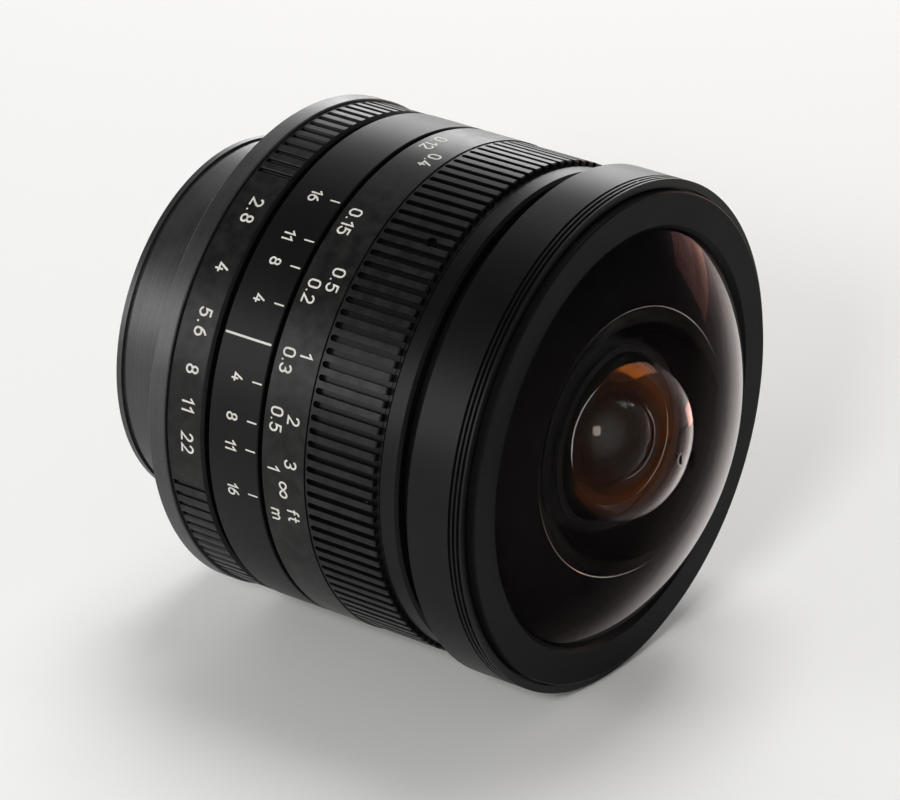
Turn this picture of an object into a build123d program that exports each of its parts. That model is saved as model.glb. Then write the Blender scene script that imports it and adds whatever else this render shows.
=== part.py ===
"""Manual-focus fisheye lens for a mirrorless camera, lying on its side.

The optical axis runs along Y with the front glass towards -Y. The origin is the centre of
the bayonet's flange face and +Z is up. Sizes are in millimetres. A station is a distance
in front of the flange face, so Y is minus the station. Angles about the axis start
straight up and grow towards -X.
"""

import os
from math import asin, atan2, cos, degrees, radians, sin, sqrt

from build123d import *

# Clearances. A cut runs past its wall by cut_past, and a window for something that
# swings is longer than the swing by sweep_spare degrees at each end.
seat_gap = 0.02
running_gap = 0.05
end_gap = 0.15
cut_past = 1.0
sweep_spare = 1.0

# Walls and steps outwards from the bore of the fixed barrel
barrel_bore = 25.6
barrel_wall = 1.4
retainer_thread_wall = 0.6
retainer_wall = 1.0
focus_journal_wall = 1.0
shoulder_rise = 0.6
foot_rise = 0.9
lip_wall = 0.7
aperture_ring_wall = 2.1
flange_step = 0.3
scale_wall = 1.56
rib_step = 0.11
band_step = 0.55
focus_band_wall = 1.2
neck_inset = 1.5
shell_step = 0.84
front_ring_inset = 1.23
glass_inset = 3.57

# Walls and steps inwards from the same bore
sleeve_wall = 1.25
arm_space = 3.1
iris_tube_wall = 1.15
foot_step = 1.2
mount_step = 2.5
tube_wall = 1.4

# Radii that follow
barrel_radius = barrel_bore + barrel_wall
retainer_thread = barrel_bore + retainer_thread_wall
retainer_radius = retainer_thread + retainer_wall
focus_journal = barrel_bore + focus_journal_wall
shoulder_radius = barrel_radius + shoulder_rise
foot_radius = barrel_radius + foot_rise
lip_radius = barrel_radius + lip_wall
aperture_ring_radius = barrel_radius + aperture_ring_wall
flange_radius = aperture_ring_radius + flange_step
scale_radius = shoulder_radius + scale_wall
rib_radius = scale_radius - rib_step
focus_band_radius = rib_radius - band_step
helicoid_radius = focus_band_radius - focus_band_wall
neck_radius = focus_band_radius - neck_inset
shell_radius = scale_radius + shell_step
front_ring_radius = shell_radius - front_ring_inset
dome_radius = front_ring_radius - glass_inset
sleeve_radius = barrel_bore - running_gap
sleeve_inner = sleeve_radius - sleeve_wall
iris_tube_outer = sleeve_inner - arm_space + running_gap
iris_tube_bore = iris_tube_outer - iris_tube_wall
foot_bore = barrel_bore - foot_step
tube_radius = foot_bore - mount_step
tube_bore = tube_radius - tube_wall

# Lengths along the axis, from the mount to the front
flange_thickness = 2.3
ring_play = 0.1
aperture_ring_length = 5.2
index_gap = 0.9
index_ring_length = 6.95
scale_gap = 0.6
scale_band_length = 5.95
rib_length = 9.95
focus_band_length = 2.4
shell_gap = 2.25
shell_length = 5.74
hood_groove_length = 1.72
front_ring_rise = 0.94

# Stations of the outside, each from the one behind it
aperture_rear = flange_thickness + ring_play
aperture_front = aperture_rear + aperture_ring_length
index_rear = aperture_front + index_gap
index_front = index_rear + index_ring_length
focus_rear = index_front + scale_gap
rib_rear = focus_rear + scale_band_length
rib_front = rib_rear + rib_length
focus_front = rib_front + focus_band_length
shell_rear = focus_front + shell_gap
shell_front = shell_rear + shell_length
shell_rim = shell_front + hood_groove_length
front_face = shell_rim + front_ring_rise

# Angles about the axis as the lens lies, and how far each ring turns
index_angle = 62.7
aperture_half_turn = 27.8
focus_to_far = 31.5
focus_to_near = 56.5
focus_end_play = 0.3
travel_per_radian = 0.384
travel_to_far = travel_per_radian * radians(focus_to_far)
travel_to_near = travel_per_radian * radians(focus_to_near)

# Grip and chamfers. The ribs stand between milled grooves that run out at the front over
# a low ledge, and a thin turned line parts them from the smooth bands at both ends. Each
# knurl groove is an arc between two rounded shoulders.
rib_count = 120
rib_depth = 0.7
rib_groove_width = 0.72
rib_chamfer = 0.15
rib_line_width = 0.15
rib_line_depth = 0.25
ledge_length = 0.4
groove_land = 0.15
groove_end_gap = 0.03
ledge_drop = 0.06
knurl_pitch = 3.2
knurl_depth = 0.45
knurl_floor_width = 0.5
knurl_waist_depth = 0.22
knurl_shoulder_width = 1.24
knurl_shoulder_rise = 0.04
knurl_rear_land = 0.3
number_zone_start = 27.0
number_zone_end = 99.5
outer_chamfer = 0.35
edge_break = 0.12
hood_groove_count = 3
hood_groove_land = 0.23
hood_groove_depth = 0.43

# Bayonet mount
register_rise = 0.2
face_relief_depth = 0.25
face_relief_gap = 0.1
lug_height = 1.1
lug_root = 0.7
lug_relief = 0.3
lug_rear = 3.5
lug_front = 1.9
lug_span = 52.0
lug_count = 3
lug_start_angle = 34.0
rim_groove_from_end = 0.7
rim_groove_width = 0.8
rim_groove_depth = 0.4
mount_plate = 1.2
mount_screw_circle = (foot_bore + barrel_radius) / 2
mount_screw_count = 4
mount_screw_angle = 15.0
mount_screw_shank = 0.75
mount_screw_head = 1.55
mount_screw_length = 3.4
lock_hole_radius = 1.1
lock_hole_depth = 0.9
lock_hole_angle = 240.0
baffle_rebate = 0.45
baffle_thickness = 0.6
baffle_room = 0.75
baffle_window_width = 22.0
baffle_window_height = 17.0
baffle_window_corner = 3.0

# Fixed barrel
foot_length = 2.6
shoulder_length = 0.9
retainer_length = 1.3
key_from_index = 3.0
key_radius = 1.0
key_depth = 1.1
stop_pin_radius = 0.6
stop_pin_height = 1.2
stop_pin_inset = 0.1

# Focus ring and its helicoid
focus_flange_length = 3.0
helicoid_rear_gap = 0.6
grub_from_front = 5.75
grub_angle = 29.6
grub_count = 3
grub_radius = 0.65
grub_recess = 1.0
grub_bite = 0.35

# Lens barrel, shell and front ring
sleeve_from_key = 0.05
sleeve_end_gap = 0.2
socket_behind_shell = 0.4
shelf_length = 1.7
glass_ledge = 0.8
cell_ledge = 2.0
web_from_rotor = 1.9
web_thickness = 1.8
tube_behind_iris = 1.2
ring_seat_rise = 1.3
ring_thread_inset = 0.5
ring_rebate = 0.6
ring_side_gap = 0.3
ring_lip = 0.75
ring_bevel = 0.5
ring_edge = 0.15

# Iris. The blades turn open by the first angle and closed by the second, from the
# direction in which a blade is drawn.
iris_air = 4.1
iris_plate = 0.8
iris_opening = 6.2
iris_wall = 0.6
pivot_inset = 2.45
pivot_hole_floor = 0.2
blade_count = 12
blade_thickness = 0.1
blade_pitch = 0.15
blade_inset = 4.2
blade_width = 5.0
blade_tab_rise = 0.8
blade_tab_margin = 0.4
blade_heel_margin = 0.86
blade_heel_angle = 14.0
blade_tip_angle = 102.0
blade_tip_bulge = 11.0
blade_turn_open = 10.4
blade_turn_closed = 24.6
drive_pin_clear = 2.11
drive_pin_direction = 100.0
iris_pin_radius = 0.25
rotor_thickness = 0.8
rotor_bore_inset = 3.9
rotor_lever_width = 1.1
rotor_lever_root = 0.5
rotor_window_gap = 0.2
cover_thickness = 0.6
cover_bore_inset = 4.6
pivot_circle = iris_tube_bore - pivot_inset
pivot_spacing = 2 * pivot_circle * sin(radians(180 / blade_count))
drive_pin_distance = pivot_spacing - drive_pin_clear

# Drive arm from the aperture ring to the iris
arm_angle = index_angle + 180.0
arm_width = 3.0
arm_thickness = 1.6
arm_from_tube = 1.1
arm_bar = 1.2
arm_foot_depth = 0.9
arm_from_foot = 0.2
fork_gap = 0.04
fork_behind = 1.3
fork_ahead = 0.8
lever_into_fork = 1.0
arm_inner = iris_tube_outer + arm_from_tube
rotor_lever_reach = arm_inner + lever_into_fork

# Glass ahead of the iris. A radius of curvature is positive where the surface bulges
# to the front. An element's edge is its thickness at the rim, or over its flat rear face.
glass_seat_from_rim = 3.06
dome_height = 12.9
dome_edge = 2.8
dome_thickness = 2.7
hollow_gap = 0.25
second_ahead = 4.3
second_radius = 11.9
second_edge = 1.62
second_front_curve = 17.4
second_back_curve = 8.8
second_hollow = 7.8
third_radius = 7.5
third_edge = 1.79
third_front_curve = 14.0
third_back_curve = 9.5
third_hollow = 6.6
doublet_crown_edge = 0.4
doublet_flint_edge = 1.3
doublet_front_curve = 12.0
doublet_joint_curve = -13.0
doublet_back_curve = -14.0
cement_gap = 0.02

# Glass behind the iris, each vertex from the one ahead of it
rear_glass_radius = 9.0
singlet_from_iris = 3.3
singlet_edge = 0.77
singlet_front_curve = 22.0
middle_from_singlet = 3.0
middle_crown_edge = 0.4
middle_flint_edge = 1.63
middle_front_curve = 30.0
middle_joint_curve = -20.0
middle_back_curve = -18.0
rear_from_middle = 2.0
rear_crown_edge = 0.6
rear_flint_edge = 2.13
rear_front_curve = 16.0
rear_joint_curve = -40.0
last_from_rear = 3.1
last_edge = 1.25
last_front_curve = 24.0
flat = None

# Cells, retainers and spacers
cell_gap = 0.05
cell_wall = 1.4
cell_flange = 1.5
cell_top_gap = 0.1
cell_rim_rise = 0.2
cell_cup_wall = 1.2
cell_skirt_wall = 1.75
cell_lip_length = 2.2
cell_past_glass = 0.5
glass_stop = 0.5
second_retainer_lip = 0.6
second_retainer_length = 0.7
front_spacer_wall = 0.85
front_spacer_length = 1.6
doublet_retainer_wall = 1.1
doublet_retainer_length = 1.2
rear_stop = 0.8
rear_spacer_wall = 1.0
rear_flange = 1.2
rear_spigot = 1.0
rear_cell_wall = 1.5
rear_cell_chamfer = 0.5
rear_cell_past_glass = 1.0
rear_retainer_inset = 0.2


def across(station):
    """The plane square to the axis at a station, x straight up and y towards -X."""
    return Plane(origin=(0, -station, 0), x_dir=(0, 0, 1), z_dir=(0, -1, 0))


def half_plane(angle):
    """The plane through the axis at an angle: x is the station and y the radius."""
    a = radians(angle)
    return Plane(origin=(0, 0, 0), x_dir=(0, -1, 0), z_dir=(-cos(a), 0, -sin(a)))


def radial(station, angle, height):
    """The plane square to a radius, at a station, an angle and a height off the axis."""
    a = radians(angle)
    out = (-sin(a), 0, cos(a))
    origin = (height * out[0], -station, height * out[2])
    return Plane(origin=origin, x_dir=(0, -1, 0), z_dir=out)


front_axis = Axis((0, 0, 0), (0, -1, 0))
flange_face = Plane(origin=(0, 0, 0), x_dir=(0, 0, 1), z_dir=(0, 1, 0))


def turn(*corners, start=0.0, span=360.0, mode=Mode.ADD):
    """Turn a closed half section of (station, radius) corners about the axis."""
    with BuildSketch(half_plane(start)) as section:
        with BuildLine():
            Polyline(*corners, close=True)
        make_face()
    revolve(section.sketch, axis=front_axis, revolution_arc=span, mode=mode)


def band(rear, front, inner, outer, start=0.0, span=360.0, mode=Mode.ADD):
    """A plain ring, or part of one, between two stations and two radii."""
    corners = (rear, inner), (front, inner), (front, outer), (rear, outer)
    turn(*corners, start=start, span=span, mode=mode)


def radial_pin(station, angle, inner, outer, radius, mode=Mode.ADD):
    """A round pin or hole along a radius."""
    with BuildSketch(radial(station, angle, inner)) as section:
        Circle(radius)
    extrude(section.sketch, amount=outer - inner, mode=mode)


def block(station, angle, inner, outer, length, width, mode=Mode.ADD):
    """A square block along a radius, centred on a station and an angle."""
    with BuildSketch(radial(station, angle, inner)) as section:
        Rectangle(length, width)
    extrude(section.sketch, amount=outer - inner, mode=mode)


def polar(radius, angle):
    """A point of a plane square to the axis."""
    return (radius * cos(radians(angle)), radius * sin(radians(angle)))


def save(piece, name):
    """Name a finished piece and write it."""
    piece.part.label = name
    export_step(piece.part, f"parts/{name}.step")


# Fixed pieces


def bayonet_mount():
    """The metal mount: flange plate, tube and the three lugs that lock in the camera."""
    end = tube_end()
    rebate_floor = end + baffle_thickness + seat_gap
    groove = end + rim_groove_from_end
    with BuildPart(flange_face) as piece:
        turn(
            (face_relief_depth, tube_bore),
            (mount_plate, tube_bore),
            (mount_plate, foot_radius + seat_gap),
            (flange_thickness, foot_radius + seat_gap),
            (flange_thickness, flange_radius - edge_break),
            (flange_thickness - edge_break, flange_radius),
            (edge_break, flange_radius),
            (0, flange_radius - edge_break),
            (0, tube_radius + lug_height + face_relief_gap),
            (face_relief_depth, tube_radius + lug_height + face_relief_gap),
        )
        band(end, mount_plate, tube_bore, tube_radius)
        band(-lug_front, mount_plate, tube_bore, tube_radius + register_rise)
        band(end, rebate_floor, tube_bore - cut_past, tube_bore + baffle_rebate, mode=Mode.SUBTRACT)
        floor = tube_radius - rim_groove_depth
        band(groove, groove + rim_groove_width, floor, tube_radius + cut_past, mode=Mode.SUBTRACT)
        relief = tube_radius - lug_relief
        band(-lug_rear, -lug_front, relief, tube_radius + cut_past, mode=Mode.SUBTRACT)
        for lug in range(lug_count):
            start = lug_start_angle + lug * 360 / lug_count
            root, tip = tube_radius - lug_root, tube_radius + lug_height
            band(-lug_rear, -lug_front, root, tip, start=start, span=lug_span)
        with PolarLocations(mount_screw_circle, mount_screw_count, start_angle=mount_screw_angle):
            CounterSinkHole(
                mount_screw_shank + seat_gap,
                mount_screw_head + seat_gap,
                depth=mount_plate,
                counter_sink_angle=90,
            )
        with Locations(polar(mount_screw_circle, lock_hole_angle)):
            Hole(lock_hole_radius, depth=lock_hole_depth)
    return piece


def mount_screws():
    """Countersunk screws through the mount into the fixed barrel."""
    into_barrel = (Align.CENTER, Align.CENTER, Align.MAX)
    with BuildPart(flange_face) as piece:
        with PolarLocations(mount_screw_circle, mount_screw_count, start_angle=mount_screw_angle):
            Cylinder(mount_screw_shank, mount_screw_length, align=into_barrel)
            head_depth = mount_screw_head - mount_screw_shank
            Cone(mount_screw_shank, mount_screw_head, head_depth, align=into_barrel)
    return piece


def tube_end():
    """The station of the tube's rear end, far enough back to cover the rear glass."""
    return rear_cell_end() - baffle_room - baffle_thickness


def rear_baffle():
    """The black plate that closes the tube behind the last glass, with its window."""
    with BuildPart() as piece:
        with BuildSketch(across(tube_end())) as plate:
            Circle(tube_bore + baffle_rebate - seat_gap)
            RectangleRounded(
                baffle_window_height, baffle_window_width, baffle_window_corner, mode=Mode.SUBTRACT
            )
        extrude(plate.sketch, amount=baffle_thickness)
    return piece


def main_barrel():
    """The fixed tube that both rings turn on."""
    foot_front = mount_plate + foot_length
    shoulder_rear = index_front - shoulder_length / 2
    shoulder_front = shoulder_rear + shoulder_length
    flange_front = focus_flange_front() + end_gap
    end = flange_front + retainer_length
    with BuildPart() as piece:
        turn(
            (mount_plate, foot_bore),
            (foot_front, foot_bore),
            (foot_front, barrel_bore),
            (end, barrel_bore),
            (end, retainer_thread),
            (flange_front, retainer_thread),
            (flange_front, focus_journal),
            (shoulder_front, focus_journal),
            (shoulder_front, shoulder_radius),
            (shoulder_rear, shoulder_radius),
            (shoulder_rear, barrel_radius),
            (flange_thickness, barrel_radius),
            (flange_thickness, foot_radius),
            (mount_plate, foot_radius),
        )
        with BuildSketch(flange_face.offset(-mount_plate)) as holes:
            with PolarLocations(mount_screw_circle, mount_screw_count, start_angle=mount_screw_angle):
                Circle(mount_screw_shank + seat_gap)
        extrude(holes.sketch, amount=-(mount_screw_length - mount_plate + seat_gap), mode=Mode.SUBTRACT)
        reach = arm_thickness / 2 + end_gap
        window(arm_station() - reach, arm_station() + reach, barrel_bore, barrel_radius, arm_width)
        for angle in key_angles():
            hole = key_radius + seat_gap
            radial_pin(key_station(), angle, foot_bore, barrel_radius + cut_past, hole, Mode.SUBTRACT)
        hole = stop_pin_radius + seat_gap
        top = focus_journal + cut_past
        radial_pin(focus_stop_station(), index_angle, foot_bore, top, hole, Mode.SUBTRACT)
    return piece


def window(rear, front, inner, outer, width):
    """Cut a window through a wall for something that wide that swings with the aperture ring."""
    half = aperture_half_turn + degrees(asin(width / 2 / inner)) + sweep_spare
    start = arm_angle - half
    inner, outer = inner - cut_past, outer + cut_past
    band(rear, front, inner, outer, start=start, span=2 * half, mode=Mode.SUBTRACT)


def index_ring():
    """The fixed ring that carries the index line, over the barrel's shoulder."""
    shoulder = index_front - shoulder_length / 2 - seat_gap
    lip = aperture_front + end_gap
    with BuildPart() as piece:
        turn(
            (lip, barrel_radius + seat_gap),
            (shoulder, barrel_radius + seat_gap),
            (shoulder, shoulder_radius + seat_gap),
            (index_front, shoulder_radius + seat_gap),
            (index_front, scale_radius - edge_break),
            (index_front - edge_break, scale_radius),
            (index_rear + edge_break, scale_radius),
            (index_rear, scale_radius - edge_break),
            (index_rear, lip_radius),
            (lip, lip_radius),
        )
    return piece


def focus_retainer():
    """The threaded ring at the front of the barrel that keeps the focus ring on."""
    rear = focus_flange_front() + end_gap + seat_gap
    with BuildPart() as piece:
        band(rear, rear + retainer_length, retainer_thread + seat_gap, retainer_radius)
    return piece


def guide_keys():
    """Round keys in the barrel that let the glass slide but not turn."""
    with BuildPart() as piece:
        for angle in key_angles():
            radial_pin(key_station(), angle, barrel_bore - key_depth, barrel_radius, key_radius)
    return piece


def focus_stop_pin():
    """The pin that stops the focus ring at each end of its turn."""
    bottom = barrel_bore + stop_pin_inset
    top = focus_journal + stop_pin_height
    with BuildPart() as piece:
        radial_pin(focus_stop_station(), index_angle, bottom, top, stop_pin_radius)
    return piece


def arm_station():
    return mount_plate + foot_length + arm_from_foot + arm_thickness / 2


def key_station():
    return index_front - key_from_index


def key_angles():
    return [index_angle + 90, index_angle - 90]


def focus_flange_rear():
    return index_front + shoulder_length / 2 + end_gap


def focus_flange_front():
    return focus_flange_rear() + focus_flange_length


def focus_stop_station():
    return focus_flange_rear() + focus_flange_length / 2


# Aperture ring


def knurl_groove():
    """The section of one knurl groove, with a rounded shoulder at each side of its floor."""
    surface_at = aperture_ring_radius
    floor, waist = surface_at - knurl_depth, surface_at - knurl_waist_depth
    top, above = surface_at + knurl_shoulder_rise, surface_at + cut_past
    narrow, wide = knurl_floor_width / 2, knurl_shoulder_width / 2
    bend_x = surface_at - knurl_shoulder_rise / 2
    bend_y = (narrow + wide) / 2 - knurl_shoulder_rise
    with BuildSketch() as groove:
        with BuildLine():
            ThreePointArc((waist, -narrow), (floor, 0), (waist, narrow))
            ThreePointArc((waist, narrow), (bend_x, bend_y), (top, wide))
            Polyline((top, wide), (above, wide), (above, -wide), (top, -wide))
            ThreePointArc((top, -wide), (bend_x, -bend_y), (waist, -narrow))
        make_face()
    return groove.sketch


def aperture_ring():
    """The ring that sets the f-number, knurled all round but for its numbers."""
    groove = knurl_groove()
    with BuildPart() as piece:
        turn(
            (aperture_rear, barrel_radius + running_gap),
            (aperture_front, barrel_radius + running_gap),
            (aperture_front, aperture_ring_radius - outer_chamfer),
            (aperture_front - outer_chamfer, aperture_ring_radius),
            (aperture_rear + outer_chamfer / 2, aperture_ring_radius),
            (aperture_rear, aperture_ring_radius - outer_chamfer / 2),
        )
        knurled = 360 - (number_zone_end - number_zone_start)
        count = int(knurled / knurl_pitch)
        start = number_zone_end + (knurled - (count - 1) * knurl_pitch) / 2
        knurl_rear = aperture_rear + knurl_rear_land
        turns = [Location((0, 0, 0), (0, 0, start + tooth * knurl_pitch)) for tooth in range(count)]
        with BuildSketch(across(knurl_rear)) as grooves:
            with Locations(*turns):
                add(groove)
        extrude(grooves.sketch, amount=aperture_front - outer_chamfer - knurl_rear, mode=Mode.SUBTRACT)
        pocket = barrel_radius + arm_foot_depth + seat_gap
        size = arm_thickness + 2 * seat_gap, arm_width + 2 * seat_gap
        block(arm_station(), arm_angle, barrel_radius - cut_past, pocket, *size, mode=Mode.SUBTRACT)
    return piece


def aperture_drive_arm():
    """The bent arm from the aperture ring forward to the lever of the iris."""
    rear = arm_station() - arm_thickness / 2
    notch = rotor_rear() - fork_behind
    front = rotor_front() + fork_ahead
    bar_outer = arm_inner + arm_bar
    foot_outer = barrel_radius + arm_foot_depth
    notch_width = rotor_lever_width + 2 * fork_gap
    with BuildPart() as piece:
        block(arm_station(), arm_angle, arm_inner, foot_outer, arm_thickness, arm_width)
        block((rear + front) / 2, arm_angle, arm_inner, bar_outer, front - rear, arm_width)
        middle, length = (notch + front) / 2, front - notch
        bottom, top = arm_inner - cut_past, bar_outer + cut_past
        block(middle, arm_angle, bottom, top, length, notch_width, mode=Mode.SUBTRACT)
    return piece


# Focus ring


def focus_ring():
    """The ribbed ring with the distance scale round its rear edge."""
    bore = helicoid_radius + seat_gap
    flange_rear, flange_front = focus_flange_rear(), focus_flange_front()
    over_shoulder = shoulder_radius + end_gap
    ledge_rear = rib_front - rib_line_width - ledge_length
    ledge_radius = rib_radius - rib_depth - ledge_drop
    with BuildPart() as piece:
        turn(
            (focus_rear, over_shoulder),
            (flange_front, over_shoulder),
            (flange_front, bore),
            (focus_front, bore),
            (focus_front, focus_band_radius - outer_chamfer),
            (focus_front - outer_chamfer, focus_band_radius),
            (rib_front + edge_break, focus_band_radius),
            (rib_front, focus_band_radius - edge_break),
            (rib_front, ledge_radius - rib_line_depth),
            (rib_front - rib_line_width, ledge_radius - rib_line_depth),
            (rib_front - rib_line_width, ledge_radius),
            (ledge_rear, ledge_radius),
            (ledge_rear, rib_radius - rib_chamfer),
            (ledge_rear - rib_chamfer, rib_radius),
            (rib_rear + rib_line_width, rib_radius),
            (rib_rear + rib_line_width, rib_radius - rib_line_depth),
            (rib_rear, rib_radius - rib_line_depth),
            (rib_rear, scale_radius),
            (focus_rear + edge_break, scale_radius),
            (focus_rear, scale_radius - edge_break),
        )
        band(flange_rear, flange_front, focus_journal + running_gap, over_shoulder)
        start, end = rib_rear + rib_line_width + groove_land, rib_front - groove_end_gap
        middle, floor = (start + end) / 2, rib_radius - rib_depth
        spots = [radial(middle, rib * 360 / rib_count, floor) for rib in range(rib_count)]
        with BuildSketch(*spots) as grooves:
            SlotOverall(end - start, rib_groove_width)
        extrude(grooves.sketch, amount=rib_depth + cut_past, mode=Mode.SUBTRACT)
        for screw in range(grub_count):
            angle = grub_angle + screw * 360 / grub_count
            inner, outer = bore - cut_past, rib_radius + cut_past
            radial_pin(grub_station(), angle, inner, outer, grub_radius + seat_gap, Mode.SUBTRACT)
        stop = focus_stop_station()
        reach = stop_pin_radius + end_gap
        half = degrees(asin(stop_pin_radius / focus_journal)) + focus_end_play
        band(
            stop - reach,
            stop + reach,
            focus_journal - cut_past,
            focus_journal + stop_pin_height + end_gap,
            start=index_angle - focus_to_near - half,
            span=focus_to_near + focus_to_far + 2 * half,
            mode=Mode.SUBTRACT,
        )
    return piece


def grub_station():
    return focus_front - grub_from_front


def helicoid():
    """The brass ring inside the focus ring that drives the glass in and out."""
    rear = focus_flange_front() + end_gap + retainer_length + helicoid_rear_gap
    front = neck_rear() - travel_to_far - end_gap
    inner, outer = helicoid_radius - grub_bite - seat_gap, helicoid_radius + cut_past
    with BuildPart() as piece:
        band(rear, front, barrel_bore, helicoid_radius)
        for screw in range(grub_count):
            angle = grub_angle + screw * 360 / grub_count
            radial_pin(grub_station(), angle, inner, outer, grub_radius + seat_gap, Mode.SUBTRACT)
    return piece


def focus_grub_screws():
    """The small screws that fix the focus ring to its helicoid."""
    with BuildPart() as piece:
        for screw in range(grub_count):
            angle = grub_angle + screw * 360 / grub_count
            inner = helicoid_radius - grub_bite
            radial_pin(grub_station(), angle, inner, rib_radius - grub_recess, grub_radius)
    return piece


# Lens barrel, shell and front ring


def neck_rear():
    """The rear end of the shell's neck, still inside the focus ring at its nearest."""
    return focus_front - travel_to_near - end_gap


def glass_seat():
    return shell_rim - glass_seat_from_rim


def front_cell_rear():
    """The rear end of the front cell, just past the doublet and its retainer."""
    vertex = back_of("front_doublet_flint", 0)
    return min(vertex, doublet_retainer_rear()) - cell_past_glass


def rotor_front():
    return front_cell_rear() - iris_air - cover_thickness - running_gap


def rotor_rear():
    return rotor_front() - rotor_thickness


def blades_rear():
    return rotor_rear() - blade_count * blade_pitch


def iris_rear():
    return blades_rear() - running_gap - iris_plate


def lens_barrel():
    """The sliding barrel that carries the iris and all the glass."""
    rear = key_station() + sleeve_from_key
    front = shell_rear - socket_behind_shell - sleeve_end_gap
    web = rotor_front() + web_from_rotor
    web_front = web + web_thickness
    tube_rear = iris_rear() - tube_behind_iris
    window_rear, window_front = rotor_rear() - rotor_window_gap, rotor_front() + rotor_window_gap
    with BuildPart() as piece:
        band(rear, front, sleeve_inner, sleeve_radius)
        band(web, web_front, iris_tube_bore, sleeve_inner + sleeve_wall / 2)
        band(tube_rear, web_front, iris_tube_bore, iris_tube_outer)
        window(window_rear, window_front, iris_tube_bore, iris_tube_outer, rotor_lever_width)
        slot_front = key_station() + key_radius + travel_to_far + end_gap
        slot_rear = rear - cut_past
        middle, length = (slot_rear + slot_front) / 2, slot_front - slot_rear
        inner, outer = sleeve_inner - cut_past, sleeve_radius + cut_past
        slot = 2 * (key_radius + running_gap)
        for angle in key_angles():
            block(middle, angle, inner, outer, length, slot, mode=Mode.SUBTRACT)
    return piece


def shell_socket():
    """The station of the floor that the lens barrel's front end meets in the shell."""
    return shell_rear - socket_behind_shell


def front_shell():
    """The smooth outer shell at the front, grooved for a hood, that seats the glass."""
    seat = glass_seat()
    sleeve = sleeve_radius + seat_gap
    shelf_front = shell_socket() + shelf_length
    cell_bore = dome_radius - glass_ledge
    pocket = front_ring_radius - ring_thread_inset
    rebate = front_ring_radius + ring_side_gap
    pitch = hood_groove_length / hood_groove_count
    grooves = []
    for groove in range(hood_groove_count):
        rear = shell_front + groove * pitch
        front = rear + pitch - hood_groove_land
        grooves.append((rear, shell_radius))
        grooves.append(((rear + front) / 2, shell_radius - hood_groove_depth))
        grooves.append((front, shell_radius))
    with BuildPart() as piece:
        turn(
            (neck_rear(), sleeve),
            (shell_socket(), sleeve),
            (shell_socket(), cell_bore - cell_ledge),
            (shelf_front, cell_bore - cell_ledge),
            (shelf_front, cell_bore),
            (seat, cell_bore),
            (seat, dome_radius + seat_gap),
            (seat + ring_seat_rise, dome_radius + seat_gap),
            (seat + ring_seat_rise, pocket),
            (shell_rim - ring_rebate, pocket),
            (shell_rim - ring_rebate, rebate),
            (shell_rim, rebate),
            (shell_rim, shell_radius),
            *reversed(grooves),
            (shell_rear + outer_chamfer, shell_radius),
            (shell_rear, shell_radius - outer_chamfer),
            (shell_rear, neck_radius),
            (neck_rear(), neck_radius),
        )
    return piece


def front_ring():
    """The flat ring round the front glass that holds it down."""
    rear = glass_seat() + ring_seat_rise + running_gap
    bore = dome_radius + ring_edge
    lip_bore = dome_radius - ring_lip
    lip = dome_front(lip_bore) + seat_gap
    hollow = dome_front(dome_radius) + end_gap
    skirt = front_ring_radius - ring_thread_inset - running_gap
    shoulder = shell_rim - ring_rebate + running_gap
    with BuildPart() as piece:
        turn(
            (rear, bore),
            (hollow, bore),
            (lip, lip_bore),
            (front_face, lip_bore + ring_bevel),
            (front_face, front_ring_radius - ring_edge),
            (front_face - ring_edge, front_ring_radius),
            (shoulder, front_ring_radius),
            (shoulder, skirt),
            (rear, skirt),
        )
    return piece


# Glass


def sag(curve, height):
    """How far a spherical surface falls back from its vertex at a height off the axis."""
    if curve == flat:
        return 0
    fall = abs(curve) - sqrt(curve * curve - height * height)
    return fall if curve > 0 else -fall


def surface(vertex, curve, height):
    """The station of a spherical surface at a height off the axis."""
    return vertex - sag(curve, height)


def centre_thickness(edge, front_curve, back_curve, radius, hollow=None):
    """The thickness on the axis of an element that is this thick at its edge."""
    return edge + sag(front_curve, radius) - sag(back_curve, hollow or radius)


def face_line(vertex, curve, height, outwards):
    """Draw one face of an element between the axis and its edge."""
    edge = (surface(vertex, curve, height), height)
    ends = [(vertex, 0), edge] if outwards else [edge, (vertex, 0)]
    if curve == flat:
        Line(*ends)
    else:
        ThreePointArc(ends[0], (surface(vertex, curve, height / 2), height / 2), ends[1])


def element(front, front_curve, back, back_curve, radius, back_height=None):
    """Turn a glass element from its two vertices, curves and edge radius."""
    back_height = back_height or radius
    front_edge = surface(front, front_curve, radius)
    back_edge = surface(back, back_curve, back_height)
    with BuildSketch(half_plane(0)) as section:
        with BuildLine():
            face_line(front, front_curve, radius, outwards=True)
            Line((front_edge, radius), (back_edge, radius))
            if back_height < radius:
                Line((back_edge, radius), (back_edge, back_height))
            face_line(back, back_curve, back_height, outwards=False)
            Line((back, 0), (front, 0))
        make_face()
    revolve(section.sketch, axis=front_axis)


def dome_curve():
    """The radius of curvature that takes the dome from its vertex down to its edge."""
    rise = dome_height - dome_edge
    return (dome_radius**2 + rise**2) / (2 * rise)


def dome_front(height):
    return surface(glass_seat() + dome_height, dome_curve(), height)


def hollow_curve():
    """The dome's inner radius of curvature, which clears the cell that stands in the hollow."""
    depth = dome_height - dome_thickness
    rim = second_radius + cell_gap + cell_cup_wall + hollow_gap
    return (rim**2 + depth**2) / (2 * depth)


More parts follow.
